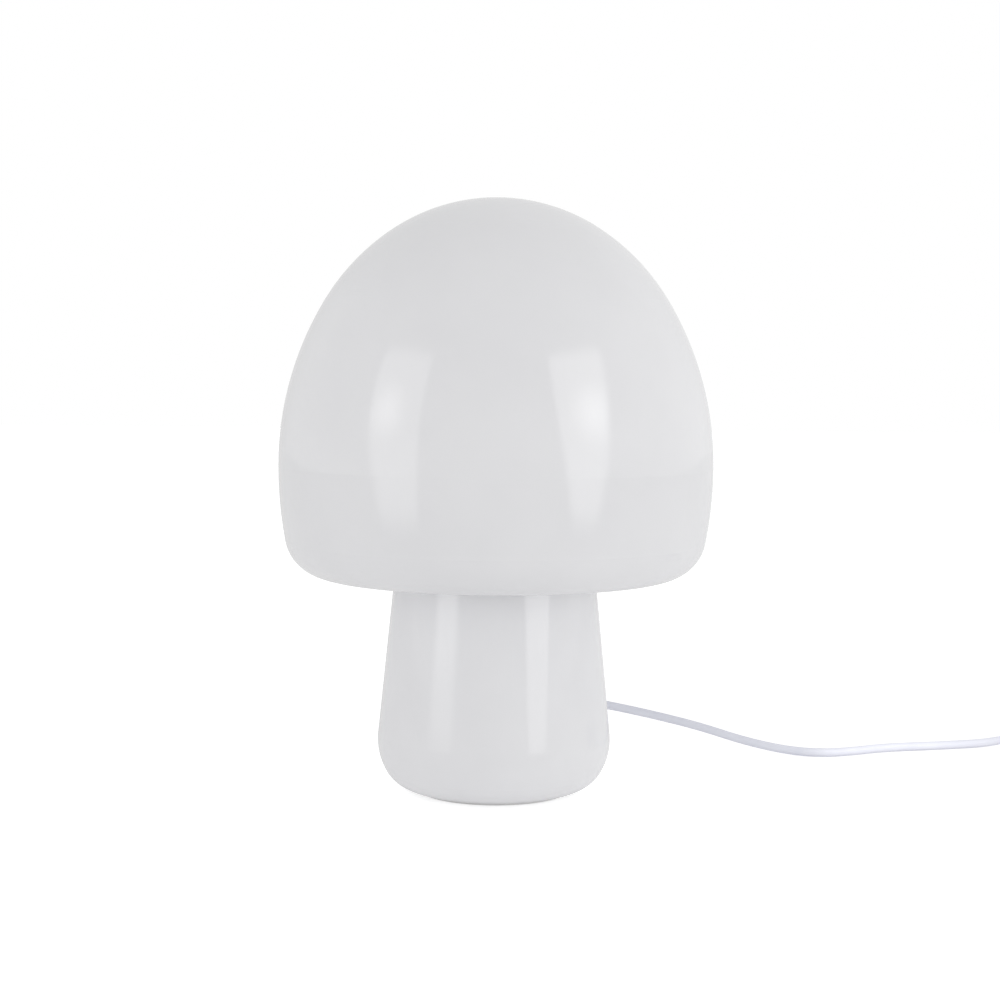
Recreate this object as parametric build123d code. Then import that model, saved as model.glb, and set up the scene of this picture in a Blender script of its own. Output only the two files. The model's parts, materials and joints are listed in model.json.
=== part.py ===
from build123d import *
import os
from math import cos, pi, radians, sin, tan

# A mushroom table lamp of opal glass: a lift-off domed shade on a vase-shaped stem.
# Millimetres. The origin is the middle of the lamp's foot on the table, +Z is up, -Y is
# the front, and the mains cord leaves the stem at the back, towards +Y.

# ---------------------------------------------------------------- driving dimensions
# Shade: arcs of its outer surface, up and down from its widest circle (the equator)
SHADE_RADIUS = 125.0
SHADE_WALL = 3.2
SIDE_ARC_RADIUS = 184.0
SIDE_ARC_TURN = 31.2
SHOULDER_ARC_RADIUS = 128.0
SHOULDER_ARC_TURN = 25.7
LOWER_ARC_RADIUS = 235.0
LOWER_ARC_TURN = 10.5
RIM_ARC_RADIUS = 25.4
RIM_ARC_TURN = 74.5
SEAT_OUTER_RADIUS = 60.0          # flat part of the shade's underside, from here to its hole
SHADE_HOLE_RADIUS = 50.0

# Stem: a glass vase with a raised middle in its floor and a flat lip round its mouth
STEM_HEIGHT = 119.8
STEM_WALL = 3.5
STEM_FOOT_RADIUS = 44.2
STEM_CORNER_RADIUS = 21.4
STEM_CORNER_TURN = 60.3
STEM_BELLY_RADIUS = 36.3
STEM_TAPER = 5.7
STEM_EDGE_RADIUS = 1.0            # where its side turns into the lip
STEM_MOUTH_RADIUS = 41.5          # inside the lip
PUNT_HEIGHT = 8.0
PUNT_TOP_RADIUS = 20.0
PUNT_FOOT_RADIUS = 30.0

# What lies between the table, the stem and the shade
PAD_THICKNESS = 1.5
PAD_INNER_RADIUS = 31.5
GASKET_THICKNESS = 1.3
PLATE_THICKNESS = 1.5
PLATE_LIP_DEPTH = 6.0
PLATE_LIP_CLEARANCE = 1.0         # between the plate's lip and the stem's mouth
COLLAR_HEIGHT = 6.5
COLLAR_WALL = 1.2
COLLAR_CLEARANCE = 0.1            # between the collar and the cushion's sleeve
VENT_RADIUS = 9.0
VENT_CIRCLE = 29.0
VENTS = 6
CUSHION_THICKNESS = 0.5           # between the stem's lip and the shade
CUSHION_EDGE = 2.0                # how far the cushion stays inside the stem's side
CUSHION_SLEEVE_WALL = 1.8
CUSHION_SLEEVE_HEIGHT = 8.5
SHADE_PLAY = 0.8                  # between the cushion's sleeve and the shade's hole

# Threaded rod, its nuts and washers (M10 x 1)
ROD_RADIUS = 5.0
ROD_BORE = 3.7
ROD_HOLE_CLEARANCE = 0.5
THREAD_CLEARANCE = 0.04
NUT_ACROSS_FLATS = 14.0
NUT_THICKNESS = 3.0
WASHER_RADIUS = 15.0
RUBBER_WASHER_THICKNESS = 1.5
STEEL_WASHER_THICKNESS = 1.2
LOCK_WASHER_RADIUS = 9.0
LOCK_WASHER_THICKNESS = 1.0
ROD_END_STANDOUT = 0.8
WIRE_SLOT_WIDTH = 7.0
WIRE_SLOT_BOTTOM = 48.0
WIRE_SLOT_TOP = 74.0

# Mains cord and its gland
CORD_DIAMETER = 5.5
CORD_CLEARANCE = 0.1
WIRE_DIAMETER = 2.1
WIRE_OFFSET = 1.25                # of each wire from the cord's middle
GLAND_HEIGHT = 34.0               # of its axis above the table
GLAND_THREAD_RADIUS = 5.8
GLAND_HOLE_CLEARANCE = 0.2
GLAND_FLANGE_RADIUS = 9.0
GLAND_FLANGE_THICKNESS = 3.0
GLAND_WASHER_THICKNESS = 1.2
GLAND_NUT_THICKNESS = 4.0
GLAND_INNER_GAP = 1.6             # from the gland's nut to the glass at its axis
BOOT_LENGTH = 22.0
BOOT_BASE_RADIUS = 5.6
BOOT_TIP_RADIUS = 3.9
BOOT_RIBS = 5
BOOT_GROOVE_DEPTH = 0.9
JACKET_INSIDE = 12.0              # length of the cord's jacket past the gland's nut

# Lampholder, heights from its own lower end
HOLDER_RADIUS = 19.5
HOLDER_WALL = 2.0
HOLDER_NECK_RADIUS = 8.5
HOLDER_NECK_HEIGHT = 8.0
HOLDER_SHOULDER_HEIGHT = 14.0
HOLDER_FLOOR = 2.5
HOLDER_LEDGE_HEIGHT = 22.0
HOLDER_LEDGE_WIDTH = 1.5
INSERT_THICKNESS = 6.0
HOLDER_SHELL_HEIGHT = 29.0
HOLDER_LIP = 2.0
SCREW_SHELL_BORE = 13.75
SCREW_SHELL_WALL = 0.5
SCREW_SHELL_HEIGHT = 25.0
SCREW_SHELL_FLANGE_BORE = 10.0
CONTACT_STRIP_WIDTH = 5.0
CONTACT_STRIP_THICKNESS = 0.6
CONTACT_RISE = 3.0
LIVE_TERMINAL_X = 7.0
NEUTRAL_TERMINAL_X = -12.0
TERMINAL_WIDTH = 5.0
TERMINAL_DEPTH = 6.0
TERMINAL_HEIGHT = 6.0
TERMINAL_SCREW_RADIUS = 1.2
TERMINAL_SCREW_HEAD_RADIUS = 2.2
RIVET_RADIUS = 1.2
GRUB_SCREW_RADIUS = 1.5

# Bulb
BULB_LENGTH = 105.0
GLOBE_RADIUS = 30.0
GLOBE_WALL = 1.2
GLOBE_MOUTH_DROP = 11.7           # from the globe's centre down to its mouth
BULB_TIP_RADIUS = 4.5
BULB_TIP_HEIGHT = 1.5
BULB_INSULATOR_HEIGHT = 3.3
BULB_CAP_RADIUS = 13.25
BULB_CAP_HEIGHT = 21.0
BULB_CAP_WALL = 0.5
BULB_THREAD_DEPTH = 0.9
BULB_THREAD_TURNS = 5
BULB_HOUSING_WALL = 1.6
BULB_SEAT_GAP = 0.1               # between the bulb's tip and the centre contact
LED_BOARD_THICKNESS = 1.6
LED_BOARD_INSET = 1.2             # from the housing's mouth
LED_CIRCLE = 16.0
LEDS = 8
LED_SIZE = 3.0
LED_HEIGHT = 0.8
DRIVER_WIDTH = 17.0
DRIVER_LENGTH = 30.0
DRIVER_THICKNESS = 1.6

# Inline rocker switch on the cord
SWITCH_START = 366.0              # x of its end nearer the lamp
SWITCH_Y = 145.0
SWITCH_LENGTH = 62.0
SWITCH_WIDTH = 24.0
SWITCH_HEIGHT = 18.0
SWITCH_CORNER = 8.0
SWITCH_EDGE = 2.5
SWITCH_WALL = 1.8
ROCKER_LENGTH = 15.2
ROCKER_WIDTH = 9.4
ROCKER_TILT = 8.0                 # to each side of level
ROCKER_ABOVE_PIVOT = 5.0
ROCKER_DISH = 1.2
ROCKER_BELOW_PIVOT = 2.0
PIVOT_DEPTH = 4.0                 # below the switch's top
PIVOT_RADIUS = 1.2
PIVOT_CLEARANCE = 0.05
ROCKER_SIDE_GAP = 0.3
ROCKER_END_GAP = 0.4
LUG_WIDTH = 2.0
LUG_LENGTH = 5.0
CONTACT_BLADE_THICKNESS = 0.5
CONTACT_REACH = 6.5               # of the rocker's contact from its pivot
CONTACT_GAP = 0.15
SWITCH_TERMINAL = 4.0
NEUTRAL_LINK_Y = -6.0
NEUTRAL_LINK_LENGTH = 8.0
NEUTRAL_LINK_HEIGHT = 4.5
CLAMP_INSET = 9.0                 # of each cord clamp from the switch's end
CLAMP_LENGTH = 4.0
CLAMP_WIDTH = 14.0
CLAMP_THICKNESS = 2.4
CLAMP_SCREW_Y = 5.0
CLAMP_SCREW_RADIUS = 1.1
CLAMP_SCREW_HEAD_RADIUS = 1.8
CLAMP_SCREW_HEAD_HEIGHT = 1.3
CORD_END_LENGTH = 13.0            # of the cord's jacket inside the switch
HOUSING_SCREW_X = 15.5
HOUSING_SCREW_Y = 7.3
HOUSING_POST_RADIUS = 2.6
HOUSING_SCREW_RADIUS = 1.1
HOUSING_SCREW_HEAD_RADIUS = 2.1
HOUSING_SCREW_HEAD_HEIGHT = 1.8
HOUSING_SCREW_RECESS = 0.8
SCREW_HOLE_CLEARANCE = 0.1

# Put-away length of the cord, in a coil beside the switch
COIL_RADIUS = 41.0                # of its first half turn
COIL_PITCH = 6.1                  # from one turn to the next
COIL_RISE = 6.0                   # from one layer to the next
COIL_HALF_TURNS = 5               # in each of its two layers
LINK_END_RUN = 12.0               # first and last run of the short lengths by the coil
LINK_MIDDLE_RUN = 20.0

# Mains plug with two round pins
PLUG_LENGTH = 38.0
PLUG_WIDTH = 35.0
PLUG_THICKNESS = 14.0
PLUG_GRIP_LENGTH = 14.0           # of its full width, behind the pins
PLUG_NECK_WIDTH = 13.0
PLUG_EDGE = 2.5
PLUG_BOOT_LENGTH = 25.0
PIN_RADIUS = 2.0
PIN_LENGTH = 19.0
PIN_SPACING = 18.6
PIN_CORE_RADIUS = 1.5
PIN_SLEEVE_LENGTH = 10.0
PIN_ROOT = 8.0                    # of each pin inside the plug
PLUG_TURN = 5.0                   # of the plug from the switch's line, seen from above

# ---------------------------------------------------------------- worked-out places
CORD_RADIUS = CORD_DIAMETER / 2
WIRE_RADIUS = WIRE_DIAMETER / 2
TABLE_CLEARANCE = 0.05            # keeps the cord's tube from dipping into the table
CORD_ON_TABLE = CORD_RADIUS + TABLE_CLEARANCE

RIM_HEIGHT = PAD_THICKNESS + STEM_HEIGHT
PLATE_BOTTOM = RIM_HEIGHT + GASKET_THICKNESS
PLATE_TOP = PLATE_BOTTOM + PLATE_THICKNESS
SEAT_HEIGHT = RIM_HEIGHT + CUSHION_THICKNESS
HOLDER_HEIGHT = PLATE_TOP + LOCK_WASHER_THICKNESS + NUT_THICKNESS
PUNT_UNDERSIDE = PAD_THICKNESS + PUNT_HEIGHT
BOTTOM_NUT_TOP = PUNT_UNDERSIDE - RUBBER_WASHER_THICKNESS - STEEL_WASHER_THICKNESS
ROD_BOTTOM = BOTTOM_NUT_TOP - NUT_THICKNESS - ROD_END_STANDOUT
ROD_TOP = HOLDER_HEIGHT + HOLDER_NECK_HEIGHT + HOLDER_FLOOR / 2

INSERT_TOP = HOLDER_LEDGE_HEIGHT + INSERT_THICKNESS
CONTACT_TOP = INSERT_TOP + CONTACT_RISE + CONTACT_STRIP_THICKNESS
BULB_TIP = HOLDER_HEIGHT + CONTACT_TOP + BULB_SEAT_GAP
BULB_CAP_BOTTOM = BULB_TIP + BULB_TIP_HEIGHT + BULB_INSULATOR_HEIGHT
BULB_CAP_TOP = BULB_CAP_BOTTOM + BULB_CAP_HEIGHT
GLOBE_CENTRE = BULB_TIP + BULB_LENGTH - GLOBE_RADIUS
GLOBE_MOUTH = GLOBE_CENTRE - GLOBE_MOUTH_DROP
GLOBE_MOUTH_RADIUS = (GLOBE_RADIUS ** 2 - GLOBE_MOUTH_DROP ** 2) ** 0.5

SWITCH_AXIS = SWITCH_HEIGHT / 2
SWITCH_MIDDLE = SWITCH_START + SWITCH_LENGTH / 2
PIVOT_HEIGHT = SWITCH_HEIGHT - PIVOT_DEPTH
LUG_INNER_Y = ROCKER_WIDTH / 2 + 2 * ROCKER_SIDE_GAP
CLAMP_X = SWITCH_LENGTH / 2 - CLAMP_INSET

LINK_LENGTH = 2 * LINK_END_RUN + LINK_MIDDLE_RUN
COIL_X = SWITCH_START + SWITCH_LENGTH + LINK_LENGTH + CORD_DIAMETER
PLUG_AXIS = PLUG_THICKNESS / 2


def unit(angle):
    """The unit vector at that many degrees in an outline of (radius, height)."""
    return Vector(1, 0).rotate(Axis.Z, angle)


def turned(*edges):
    """A solid turned about Z from a closed outline of (radius, height)."""
    return revolve(make_face([Plane.XZ * edge for edge in edges]), Axis.Z)


def turned_points(*points):
    """A solid turned about Z from the corners of its outline."""
    return turned(*Polyline(*points, close=True).edges())


def ring(inner, outer, bottom, top):
    """A flat or tall ring about Z."""
    return turned_points((inner, bottom), (outer, bottom), (outer, top), (inner, top))


def rod(radius, start, end):
    """A round bar from one point to another."""
    line = Line(start, end)
    return extrude(Plane(origin=line @ 0, z_dir=line % 0) * Circle(radius), line.length)


def block(low, high):
    """A box between two opposite corners."""
    low = Vector(low)
    size = Vector(high) - low
    return Pos(low) * Box(size.X, size.Y, size.Z, align=(Align.MIN, Align.MIN, Align.MIN))


def hex_nut(bottom, thickness, across_flats, bore):
    """A hexagonal nut about Z."""
    outline = RegularPolygon(across_flats / 2, 6, major_radius=False) - Circle(bore)
    return Pos(0, 0, bottom) * extrude(outline, thickness)


def strain_relief(length, base_radius, tip_radius, bore=0.0):
    """A ribbed, tapered boot from the origin along Z; a bore of zero makes it solid."""
    pitch = length / BOOT_RIBS
    slope = (tip_radius - base_radius) / length
    outline = [(bore, 0.0)]
    for rib in range(BOOT_RIBS):
        start = rib * pitch
        rib_end = start + 0.6 * pitch
        groove_end = start + pitch
        outline += [(base_radius + slope * start, start), (base_radius + slope * rib_end, rib_end)]
        if rib < BOOT_RIBS - 1:
            outline += [(base_radius + slope * rib_end - BOOT_GROOVE_DEPTH, rib_end),
                        (base_radius + slope * groove_end - BOOT_GROOVE_DEPTH, groove_end)]
    outline += [(tip_radius, length), (bore, length)]
    return turned_points(*outline)


def tube(path, radius):
    """A round tube swept along a path."""
    return sweep(Plane(origin=path @ 0, z_dir=path % 0) * Circle(radius), path=path)


def rounded_path(points):
    """Straight runs joined by arcs, each as large as its two runs allow."""
    points = [Vector(point) for point in points]
    radii = []
    for before, at, after in zip(points, points[1:], points[2:]):
        run_in = at - before
        run_out = after - at
        half_turn = radians(run_in.get_angle(run_out) / 2)
        radii.append(0.45 * min(run_in.length, run_out.length) / tan(half_turn))
    return FilletPolyline(*points, radius=radii), radii


def wire(points):
    """One insulated wire along those points."""
    path, _ = rounded_path(points)
    return tube(path, WIRE_RADIUS)


def cord(name, points):
    """A length of the mains cord along those points; prints its length, radii and volume."""
    path, radii = rounded_path(points)
    solid = tube(path, CORD_RADIUS)
    drawn = pi * CORD_RADIUS ** 2 * path.length
    print(name, "length", round(path.length, 1), "radii", [round(radius) for radius in radii],
          "volume ratio", round(solid.volume / drawn, 4))
    return solid


# ---------------------------------------------------------------- shade
def shade_arcs(inset):
    """The shade's arcs, that far inside its outer surface, from its crown to its rim."""
    side = Vector(SHADE_RADIUS - SIDE_ARC_RADIUS, 0)
    shoulder = side + (SIDE_ARC_RADIUS - SHOULDER_ARC_RADIUS) * unit(SIDE_ARC_TURN)
    crown_start = SIDE_ARC_TURN + SHOULDER_ARC_TURN
    crown_radius = shoulder.X / cos(radians(crown_start)) + SHOULDER_ARC_RADIUS
    crown = shoulder + (SHOULDER_ARC_RADIUS - crown_radius) * unit(crown_start)
    lower = Vector(SHADE_RADIUS - LOWER_ARC_RADIUS, 0)
    rim = lower + (LOWER_ARC_RADIUS - RIM_ARC_RADIUS) * unit(-LOWER_ARC_TURN)
    return [
        CenterArc(crown, crown_radius - inset, 90, crown_start - 90),
        CenterArc(shoulder, SHOULDER_ARC_RADIUS - inset, crown_start, -SHOULDER_ARC_TURN),
        CenterArc(side, SIDE_ARC_RADIUS - inset, SIDE_ARC_TURN, -SIDE_ARC_TURN),
        CenterArc(lower, LOWER_ARC_RADIUS - inset, 0, -LOWER_ARC_TURN),
        CenterArc(rim, RIM_ARC_RADIUS - inset, -LOWER_ARC_TURN, -RIM_ARC_TURN),
    ]


def shade_glass():
    """The domed shade, blown in one piece, with a fire-polished hole that sits on the stem."""
    outer = shade_arcs(0.0)
    inner = shade_arcs(SHADE_WALL)
    slope = 90 - LOWER_ARC_TURN - RIM_ARC_TURN
    rim_end = outer[-1] @ 1
    seat = rim_end.Y - (rim_end.X - SEAT_OUTER_RADIUS) * tan(radians(slope))
    floor = seat + SHADE_WALL
    lip = SHADE_HOLE_RADIUS + SHADE_WALL / 2
    inner_corner = SEAT_OUTER_RADIUS - SHADE_WALL * tan(radians(slope / 2))
    shell = turned(
        *outer,
        Line(rim_end, (SEAT_OUTER_RADIUS, seat)),
        Line((SEAT_OUTER_RADIUS, seat), (lip, seat)),
        ThreePointArc((lip, seat), (SHADE_HOLE_RADIUS, seat + SHADE_WALL / 2), (lip, floor)),
        Line((lip, floor), (inner_corner, floor)),
        Line((inner_corner, floor), inner[-1] @ 1),
        *inner,
        Line(inner[0] @ 0, outer[0] @ 0),
    )
    return Pos(0, 0, SEAT_HEIGHT - seat) * shell


def cushion_bore():
    """Inner radius of the soft ring, round the carrier plate's collar."""
    return SHADE_HOLE_RADIUS - SHADE_PLAY - CUSHION_SLEEVE_WALL


def shade_cushion():
    """Soft ring on the stem's lip with an upright sleeve, which the shade's hole drops over."""
    bore = cushion_bore()
    sleeve = bore + CUSHION_SLEEVE_WALL
    flange = rim_radius() - CUSHION_EDGE
    sleeve_top = RIM_HEIGHT + CUSHION_SLEEVE_HEIGHT
    return turned_points(
        (bore, RIM_HEIGHT), (flange, RIM_HEIGHT), (flange, SEAT_HEIGHT), (sleeve, SEAT_HEIGHT),
        (sleeve, sleeve_top), (bore, sleeve_top),
    )


# ---------------------------------------------------------------- stem
def stem_side(offset, top):
    """The stem's side from its foot up to a height, that far outside its outer surface."""
    corner = Vector(STEM_FOOT_RADIUS, STEM_CORNER_RADIUS)
    joint = STEM_CORNER_TURN - 90
    belly = corner + (STEM_CORNER_RADIUS - STEM_BELLY_RADIUS) * unit(joint)
    arc_end = belly + (STEM_BELLY_RADIUS + offset) * unit(STEM_TAPER)
    top_radius = arc_end.X - (top - arc_end.Y) * tan(radians(STEM_TAPER))
    return [
        CenterArc(corner, STEM_CORNER_RADIUS + offset, -90, STEM_CORNER_TURN),
        CenterArc(belly, STEM_BELLY_RADIUS + offset, joint, STEM_TAPER - joint),
        Line(arc_end, (top_radius, top)),
    ]


def rim_radius():
    """Outer radius of the stem at its lip, were its edge not rounded."""
    return (stem_side(0.0, STEM_HEIGHT)[-1] @ 1).X


def back_of_stem(offset=0.0):
    """Distance of the stem's surface from the lamp's axis at the gland's height."""
    return (stem_side(offset, GLAND_HEIGHT - PAD_THICKNESS)[-1] @ 1).X


def stem_glass():
    """The vase, with its rod hole, its cord hole and a flat lip with a rounded mouth."""
    edge = STEM_EDGE_RADIUS
    outer = stem_side(0.0, STEM_HEIGHT - edge + edge * sin(radians(STEM_TAPER)))
    inner = stem_side(-STEM_WALL, STEM_HEIGHT - STEM_WALL)
    corner = CenterArc(outer[-1] @ 1 - edge * unit(STEM_TAPER), edge, STEM_TAPER, 90 - STEM_TAPER)
    lip = STEM_MOUTH_RADIUS + STEM_WALL / 2
    underlip = STEM_HEIGHT - STEM_WALL
    mouth = ThreePointArc((lip, STEM_HEIGHT), (STEM_MOUTH_RADIUS, STEM_HEIGHT - STEM_WALL / 2), (lip, underlip))
    hole = ROD_RADIUS + ROD_HOLE_CLEARANCE
    underside = [(STEM_FOOT_RADIUS, 0), (PUNT_FOOT_RADIUS, 0), (PUNT_TOP_RADIUS, PUNT_HEIGHT),
                 (hole, PUNT_HEIGHT), (hole, PUNT_HEIGHT + STEM_WALL),
                 (PUNT_TOP_RADIUS + 1, PUNT_HEIGHT + STEM_WALL),
                 (PUNT_FOOT_RADIUS + 1, STEM_WALL), (STEM_FOOT_RADIUS, STEM_WALL)]
    shell = turned(
        *outer,
        corner,
        Line(corner @ 1, mouth @ 0),
        mouth,
        Line(mouth @ 1, inner[-1] @ 1),
        *inner,
        *Polyline(*underside).edges(),
    )
    shell = Pos(0, 0, PAD_THICKNESS) * shell
    cord_hole = rod(GLAND_THREAD_RADIUS + GLAND_HOLE_CLEARANCE,
                    (0, back_of_stem() / 2, GLAND_HEIGHT), (0, 2 * back_of_stem(), GLAND_HEIGHT))
    return shell - cord_hole


def foot_pad():
    """Thin soft ring under the glass foot."""
    return ring(PAD_INNER_RADIUS, STEM_FOOT_RADIUS, 0, PAD_THICKNESS)


def collar_radius():
    """Outer radius of the carrier plate and its collar, inside the soft ring."""
    return cushion_bore() - COLLAR_CLEARANCE


def rim_gasket():
    """Soft ring between the stem's lip and the carrier plate."""
    return ring(STEM_MOUTH_RADIUS + STEM_WALL / 2, collar_radius(), RIM_HEIGHT, PLATE_BOTTOM)


def carrier_plate():
    """White steel pan over the stem's mouth, with a collar above and a lip below."""
    collar = collar_radius()
    lip = STEM_MOUTH_RADIUS - PLATE_LIP_CLEARANCE
    plate = ring(ROD_RADIUS + THREAD_CLEARANCE, collar, PLATE_BOTTOM, PLATE_TOP)
    plate += ring(collar - COLLAR_WALL, collar, PLATE_TOP, PLATE_TOP + COLLAR_HEIGHT)
    plate += ring(lip - PLATE_THICKNESS, lip, PLATE_BOTTOM - PLATE_LIP_DEPTH, PLATE_BOTTOM)
    vent = rod(VENT_RADIUS, (0, 0, PLATE_BOTTOM), (0, 0, PLATE_TOP))
    return plate - [place * vent for place in PolarLocations(VENT_CIRCLE, VENTS)]


# ---------------------------------------------------------------- threaded rod and fasteners
def threaded_rod():
    """Hollow rod that clamps the stem, with a slot where the wires go in."""
    pipe = ring(ROD_BORE, ROD_RADIUS, ROD_BOTTOM, ROD_TOP)
    slot = block((-WIRE_SLOT_WIDTH / 2, 0, WIRE_SLOT_BOTTOM),
                 (WIRE_SLOT_WIDTH / 2, 2 * ROD_RADIUS, WIRE_SLOT_TOP))
    return pipe - slot


def rod_nuts():
    """The nut under the foot and the one on the carrier plate."""
    bore = ROD_RADIUS + THREAD_CLEARANCE
    lower = hex_nut(BOTTOM_NUT_TOP - NUT_THICKNESS, NUT_THICKNESS, NUT_ACROSS_FLATS, bore)
    upper = hex_nut(HOLDER_HEIGHT - NUT_THICKNESS, NUT_THICKNESS, NUT_ACROSS_FLATS, bore)
    return Compound([lower, upper])


def base_rubber_washer():
    """Soft washer between the glass floor and the steel washer."""
    return ring(ROD_RADIUS + THREAD_CLEARANCE, WASHER_RADIUS,
                PUNT_UNDERSIDE - RUBBER_WASHER_THICKNESS, PUNT_UNDERSIDE)


def base_steel_washer():
    """Wide steel washer above the lower nut."""
    return ring(ROD_RADIUS + THREAD_CLEARANCE, WASHER_RADIUS, BOTTOM_NUT_TOP,
                BOTTOM_NUT_TOP + STEEL_WASHER_THICKNESS)


def lock_washer():
    """Washer under the upper nut."""
    return ring(ROD_RADIUS + THREAD_CLEARANCE, LOCK_WASHER_RADIUS, PLATE_TOP,
                PLATE_TOP + LOCK_WASHER_THICKNESS)


# ---------------------------------------------------------------- gland and inner wiring
def gland_face():
    """y of the gland's flange, just off the round glass."""
    return back_of_stem() + GLAND_WASHER_THICKNESS


def boot_end():
    """y where the cord leaves its strain relief."""
    return gland_face() + GLAND_FLANGE_THICKNESS + BOOT_LENGTH


def nut_face():
    """y of the face of the gland's nut that looks at the glass."""
    return back_of_stem(-STEM_WALL) - GLAND_INNER_GAP


def along_y(solid, start):
    """A solid made along +Z, laid along +Y from that y at the gland's height."""
    return Pos(0, start, GLAND_HEIGHT) * Rot(X=-90) * solid


def cord_gland():
    """Threaded bush, flange and ribbed strain relief in one moulding."""
    bore = CORD_RADIUS + CORD_CLEARANCE
    thread_start = nut_face() - GLAND_NUT_THICKNESS
    thread = ring(bore, GLAND_THREAD_RADIUS, 0, gland_face() - thread_start)
    flange = ring(bore, GLAND_FLANGE_RADIUS, 0, GLAND_FLANGE_THICKNESS)
    boot = strain_relief(BOOT_LENGTH, BOOT_BASE_RADIUS, BOOT_TIP_RADIUS, bore)
    return (along_y(thread, thread_start) + along_y(flange, gland_face())
            + along_y(boot, gland_face() + GLAND_FLANGE_THICKNESS))


def gland_washer():
    """Soft washer shaped to the round glass."""
    height = back_of_stem() / 2
    blank = ring(GLAND_THREAD_RADIUS + CORD_CLEARANCE, GLAND_FLANGE_RADIUS, 0, height)
    side = stem_side(CORD_CLEARANCE, STEM_HEIGHT)
    top = side[-1] @ 1
    foot = side[0] @ 0
    body = turned(*side, Line(top, (0, top.Y)), Line((0, top.Y), (0, foot.Y)), Line((0, foot.Y), foot))
    return along_y(blank, gland_face() - height) - Pos(0, 0, PAD_THICKNESS) * body


def gland_nut():
    """Nut that holds the gland from inside the stem."""
    return along_y(hex_nut(0, GLAND_NUT_THICKNESS, 2 * GLAND_FLANGE_RADIUS - 1,
                           GLAND_THREAD_RADIUS + THREAD_CLEARANCE),
                   nut_face() - GLAND_NUT_THICKNESS)


def jacket_end():
    """y where the cord's jacket is stripped, inside the stem."""
    return nut_face() - GLAND_NUT_THICKNESS - JACKET_INSIDE


def cord_in_base():
    """The jacketed cord through the gland."""
    return rod(CORD_RADIUS, (0, jacket_end(), GLAND_HEIGHT), (0, boot_end(), GLAND_HEIGHT))


def base_wire(x, terminal_x):
    """A wire from the jacket's end, through the rod, to its terminal in the lampholder."""
    start = jacket_end()
    slot_middle = (WIRE_SLOT_BOTTOM + WIRE_SLOT_TOP) / 2
    entry = HOLDER_HEIGHT + HOLDER_LEDGE_HEIGHT - TERMINAL_HEIGHT
    return wire([
        (x, start, GLAND_HEIGHT),
        (x, start - 6, GLAND_HEIGHT),
        (x, start / 3, (GLAND_HEIGHT + slot_middle) / 2),
        (x, 0, slot_middle + 4),
        (x, 0, entry - 5),
        (terminal_x, 0, entry - 2.5),
        (terminal_x, 0, entry + 3),
    ])


def live_wire():
    """Brown wire to the centre contact's terminal."""
    return base_wire(WIRE_OFFSET, LIVE_TERMINAL_X)


def neutral_wire():
    """Blue wire to the screw shell's terminal."""
    return base_wire(-WIRE_OFFSET, NEUTRAL_TERMINAL_X)


# ---------------------------------------------------------------- lampholder
def on_holder(solid):
    """A solid drawn from the lampholder's lower end, moved to its place."""
    return Pos(0, 0, HOLDER_HEIGHT) * solid


def holder_cap():
    """Lower half of the lampholder, with the threaded neck."""
    floor = HOLDER_NECK_HEIGHT + HOLDER_FLOOR
    bore = ROD_RADIUS + THREAD_CLEARANCE
    inner = HOLDER_RADIUS - HOLDER_WALL
    ledge = inner - HOLDER_LEDGE_WIDTH
    shoulder = HOLDER_SHOULDER_HEIGHT - HOLDER_NECK_HEIGHT
    cap = turned(
        *Polyline((bore, 0), (HOLDER_NECK_RADIUS, 0), (HOLDER_NECK_RADIUS, HOLDER_NECK_HEIGHT),
                  (HOLDER_RADIUS - shoulder, HOLDER_NECK_HEIGHT)).edges(),
        CenterArc((HOLDER_RADIUS - shoulder, HOLDER_SHOULDER_HEIGHT), shoulder, -90, 90),
        *Polyline((HOLDER_RADIUS, HOLDER_SHOULDER_HEIGHT), (HOLDER_RADIUS, INSERT_TOP),
                  (inner, INSERT_TOP), (inner, HOLDER_LEDGE_HEIGHT), (ledge, HOLDER_LEDGE_HEIGHT),
                  (ledge, HOLDER_SHOULDER_HEIGHT + HOLDER_WALL / 2), (ledge - HOLDER_WALL, floor),
                  (bore, floor), (bore, 0)).edges(),
    )
    screw_hole = rod(GRUB_SCREW_RADIUS + THREAD_CLEARANCE, (0, 0, HOLDER_NECK_HEIGHT / 2),
                     (2 * HOLDER_NECK_RADIUS, 0, HOLDER_NECK_HEIGHT / 2))
    return on_holder(cap - screw_hole)


def holder_grub_screw():
    """Locks the lampholder on the rod."""
    height = HOLDER_NECK_HEIGHT / 2
    return on_holder(rod(GRUB_SCREW_RADIUS, (ROD_RADIUS + THREAD_CLEARANCE, 0, height),
                         (HOLDER_NECK_RADIUS, 0, height)))


def holder_insert():
    """Insulating disc that carries the contacts."""
    disc = rod(HOLDER_RADIUS - HOLDER_WALL - CORD_CLEARANCE, (0, 0, HOLDER_LEDGE_HEIGHT),
               (0, 0, INSERT_TOP))
    holes = [rod(RIVET_RADIUS + THREAD_CLEARANCE, (x, 0, HOLDER_LEDGE_HEIGHT), (x, 0, INSERT_TOP))
             for x in (LIVE_TERMINAL_X, NEUTRAL_TERMINAL_X)]
    return on_holder(disc - holes)


def holder_shell():
    """Upper half of the lampholder, round the bulb's cap."""
    inner = HOLDER_RADIUS - HOLDER_WALL
    lip = SCREW_SHELL_BORE + 2 * SCREW_SHELL_WALL
    top = INSERT_TOP + HOLDER_SHELL_HEIGHT
    return on_holder(turned_points(
        (lip, INSERT_TOP), (HOLDER_RADIUS, INSERT_TOP), (HOLDER_RADIUS, top), (lip, top),
        (lip, top - HOLDER_LIP), (inner, top - HOLDER_LIP), (inner, INSERT_TOP + HOLDER_LIP),
        (lip, INSERT_TOP + HOLDER_LIP),
    ))


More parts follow.
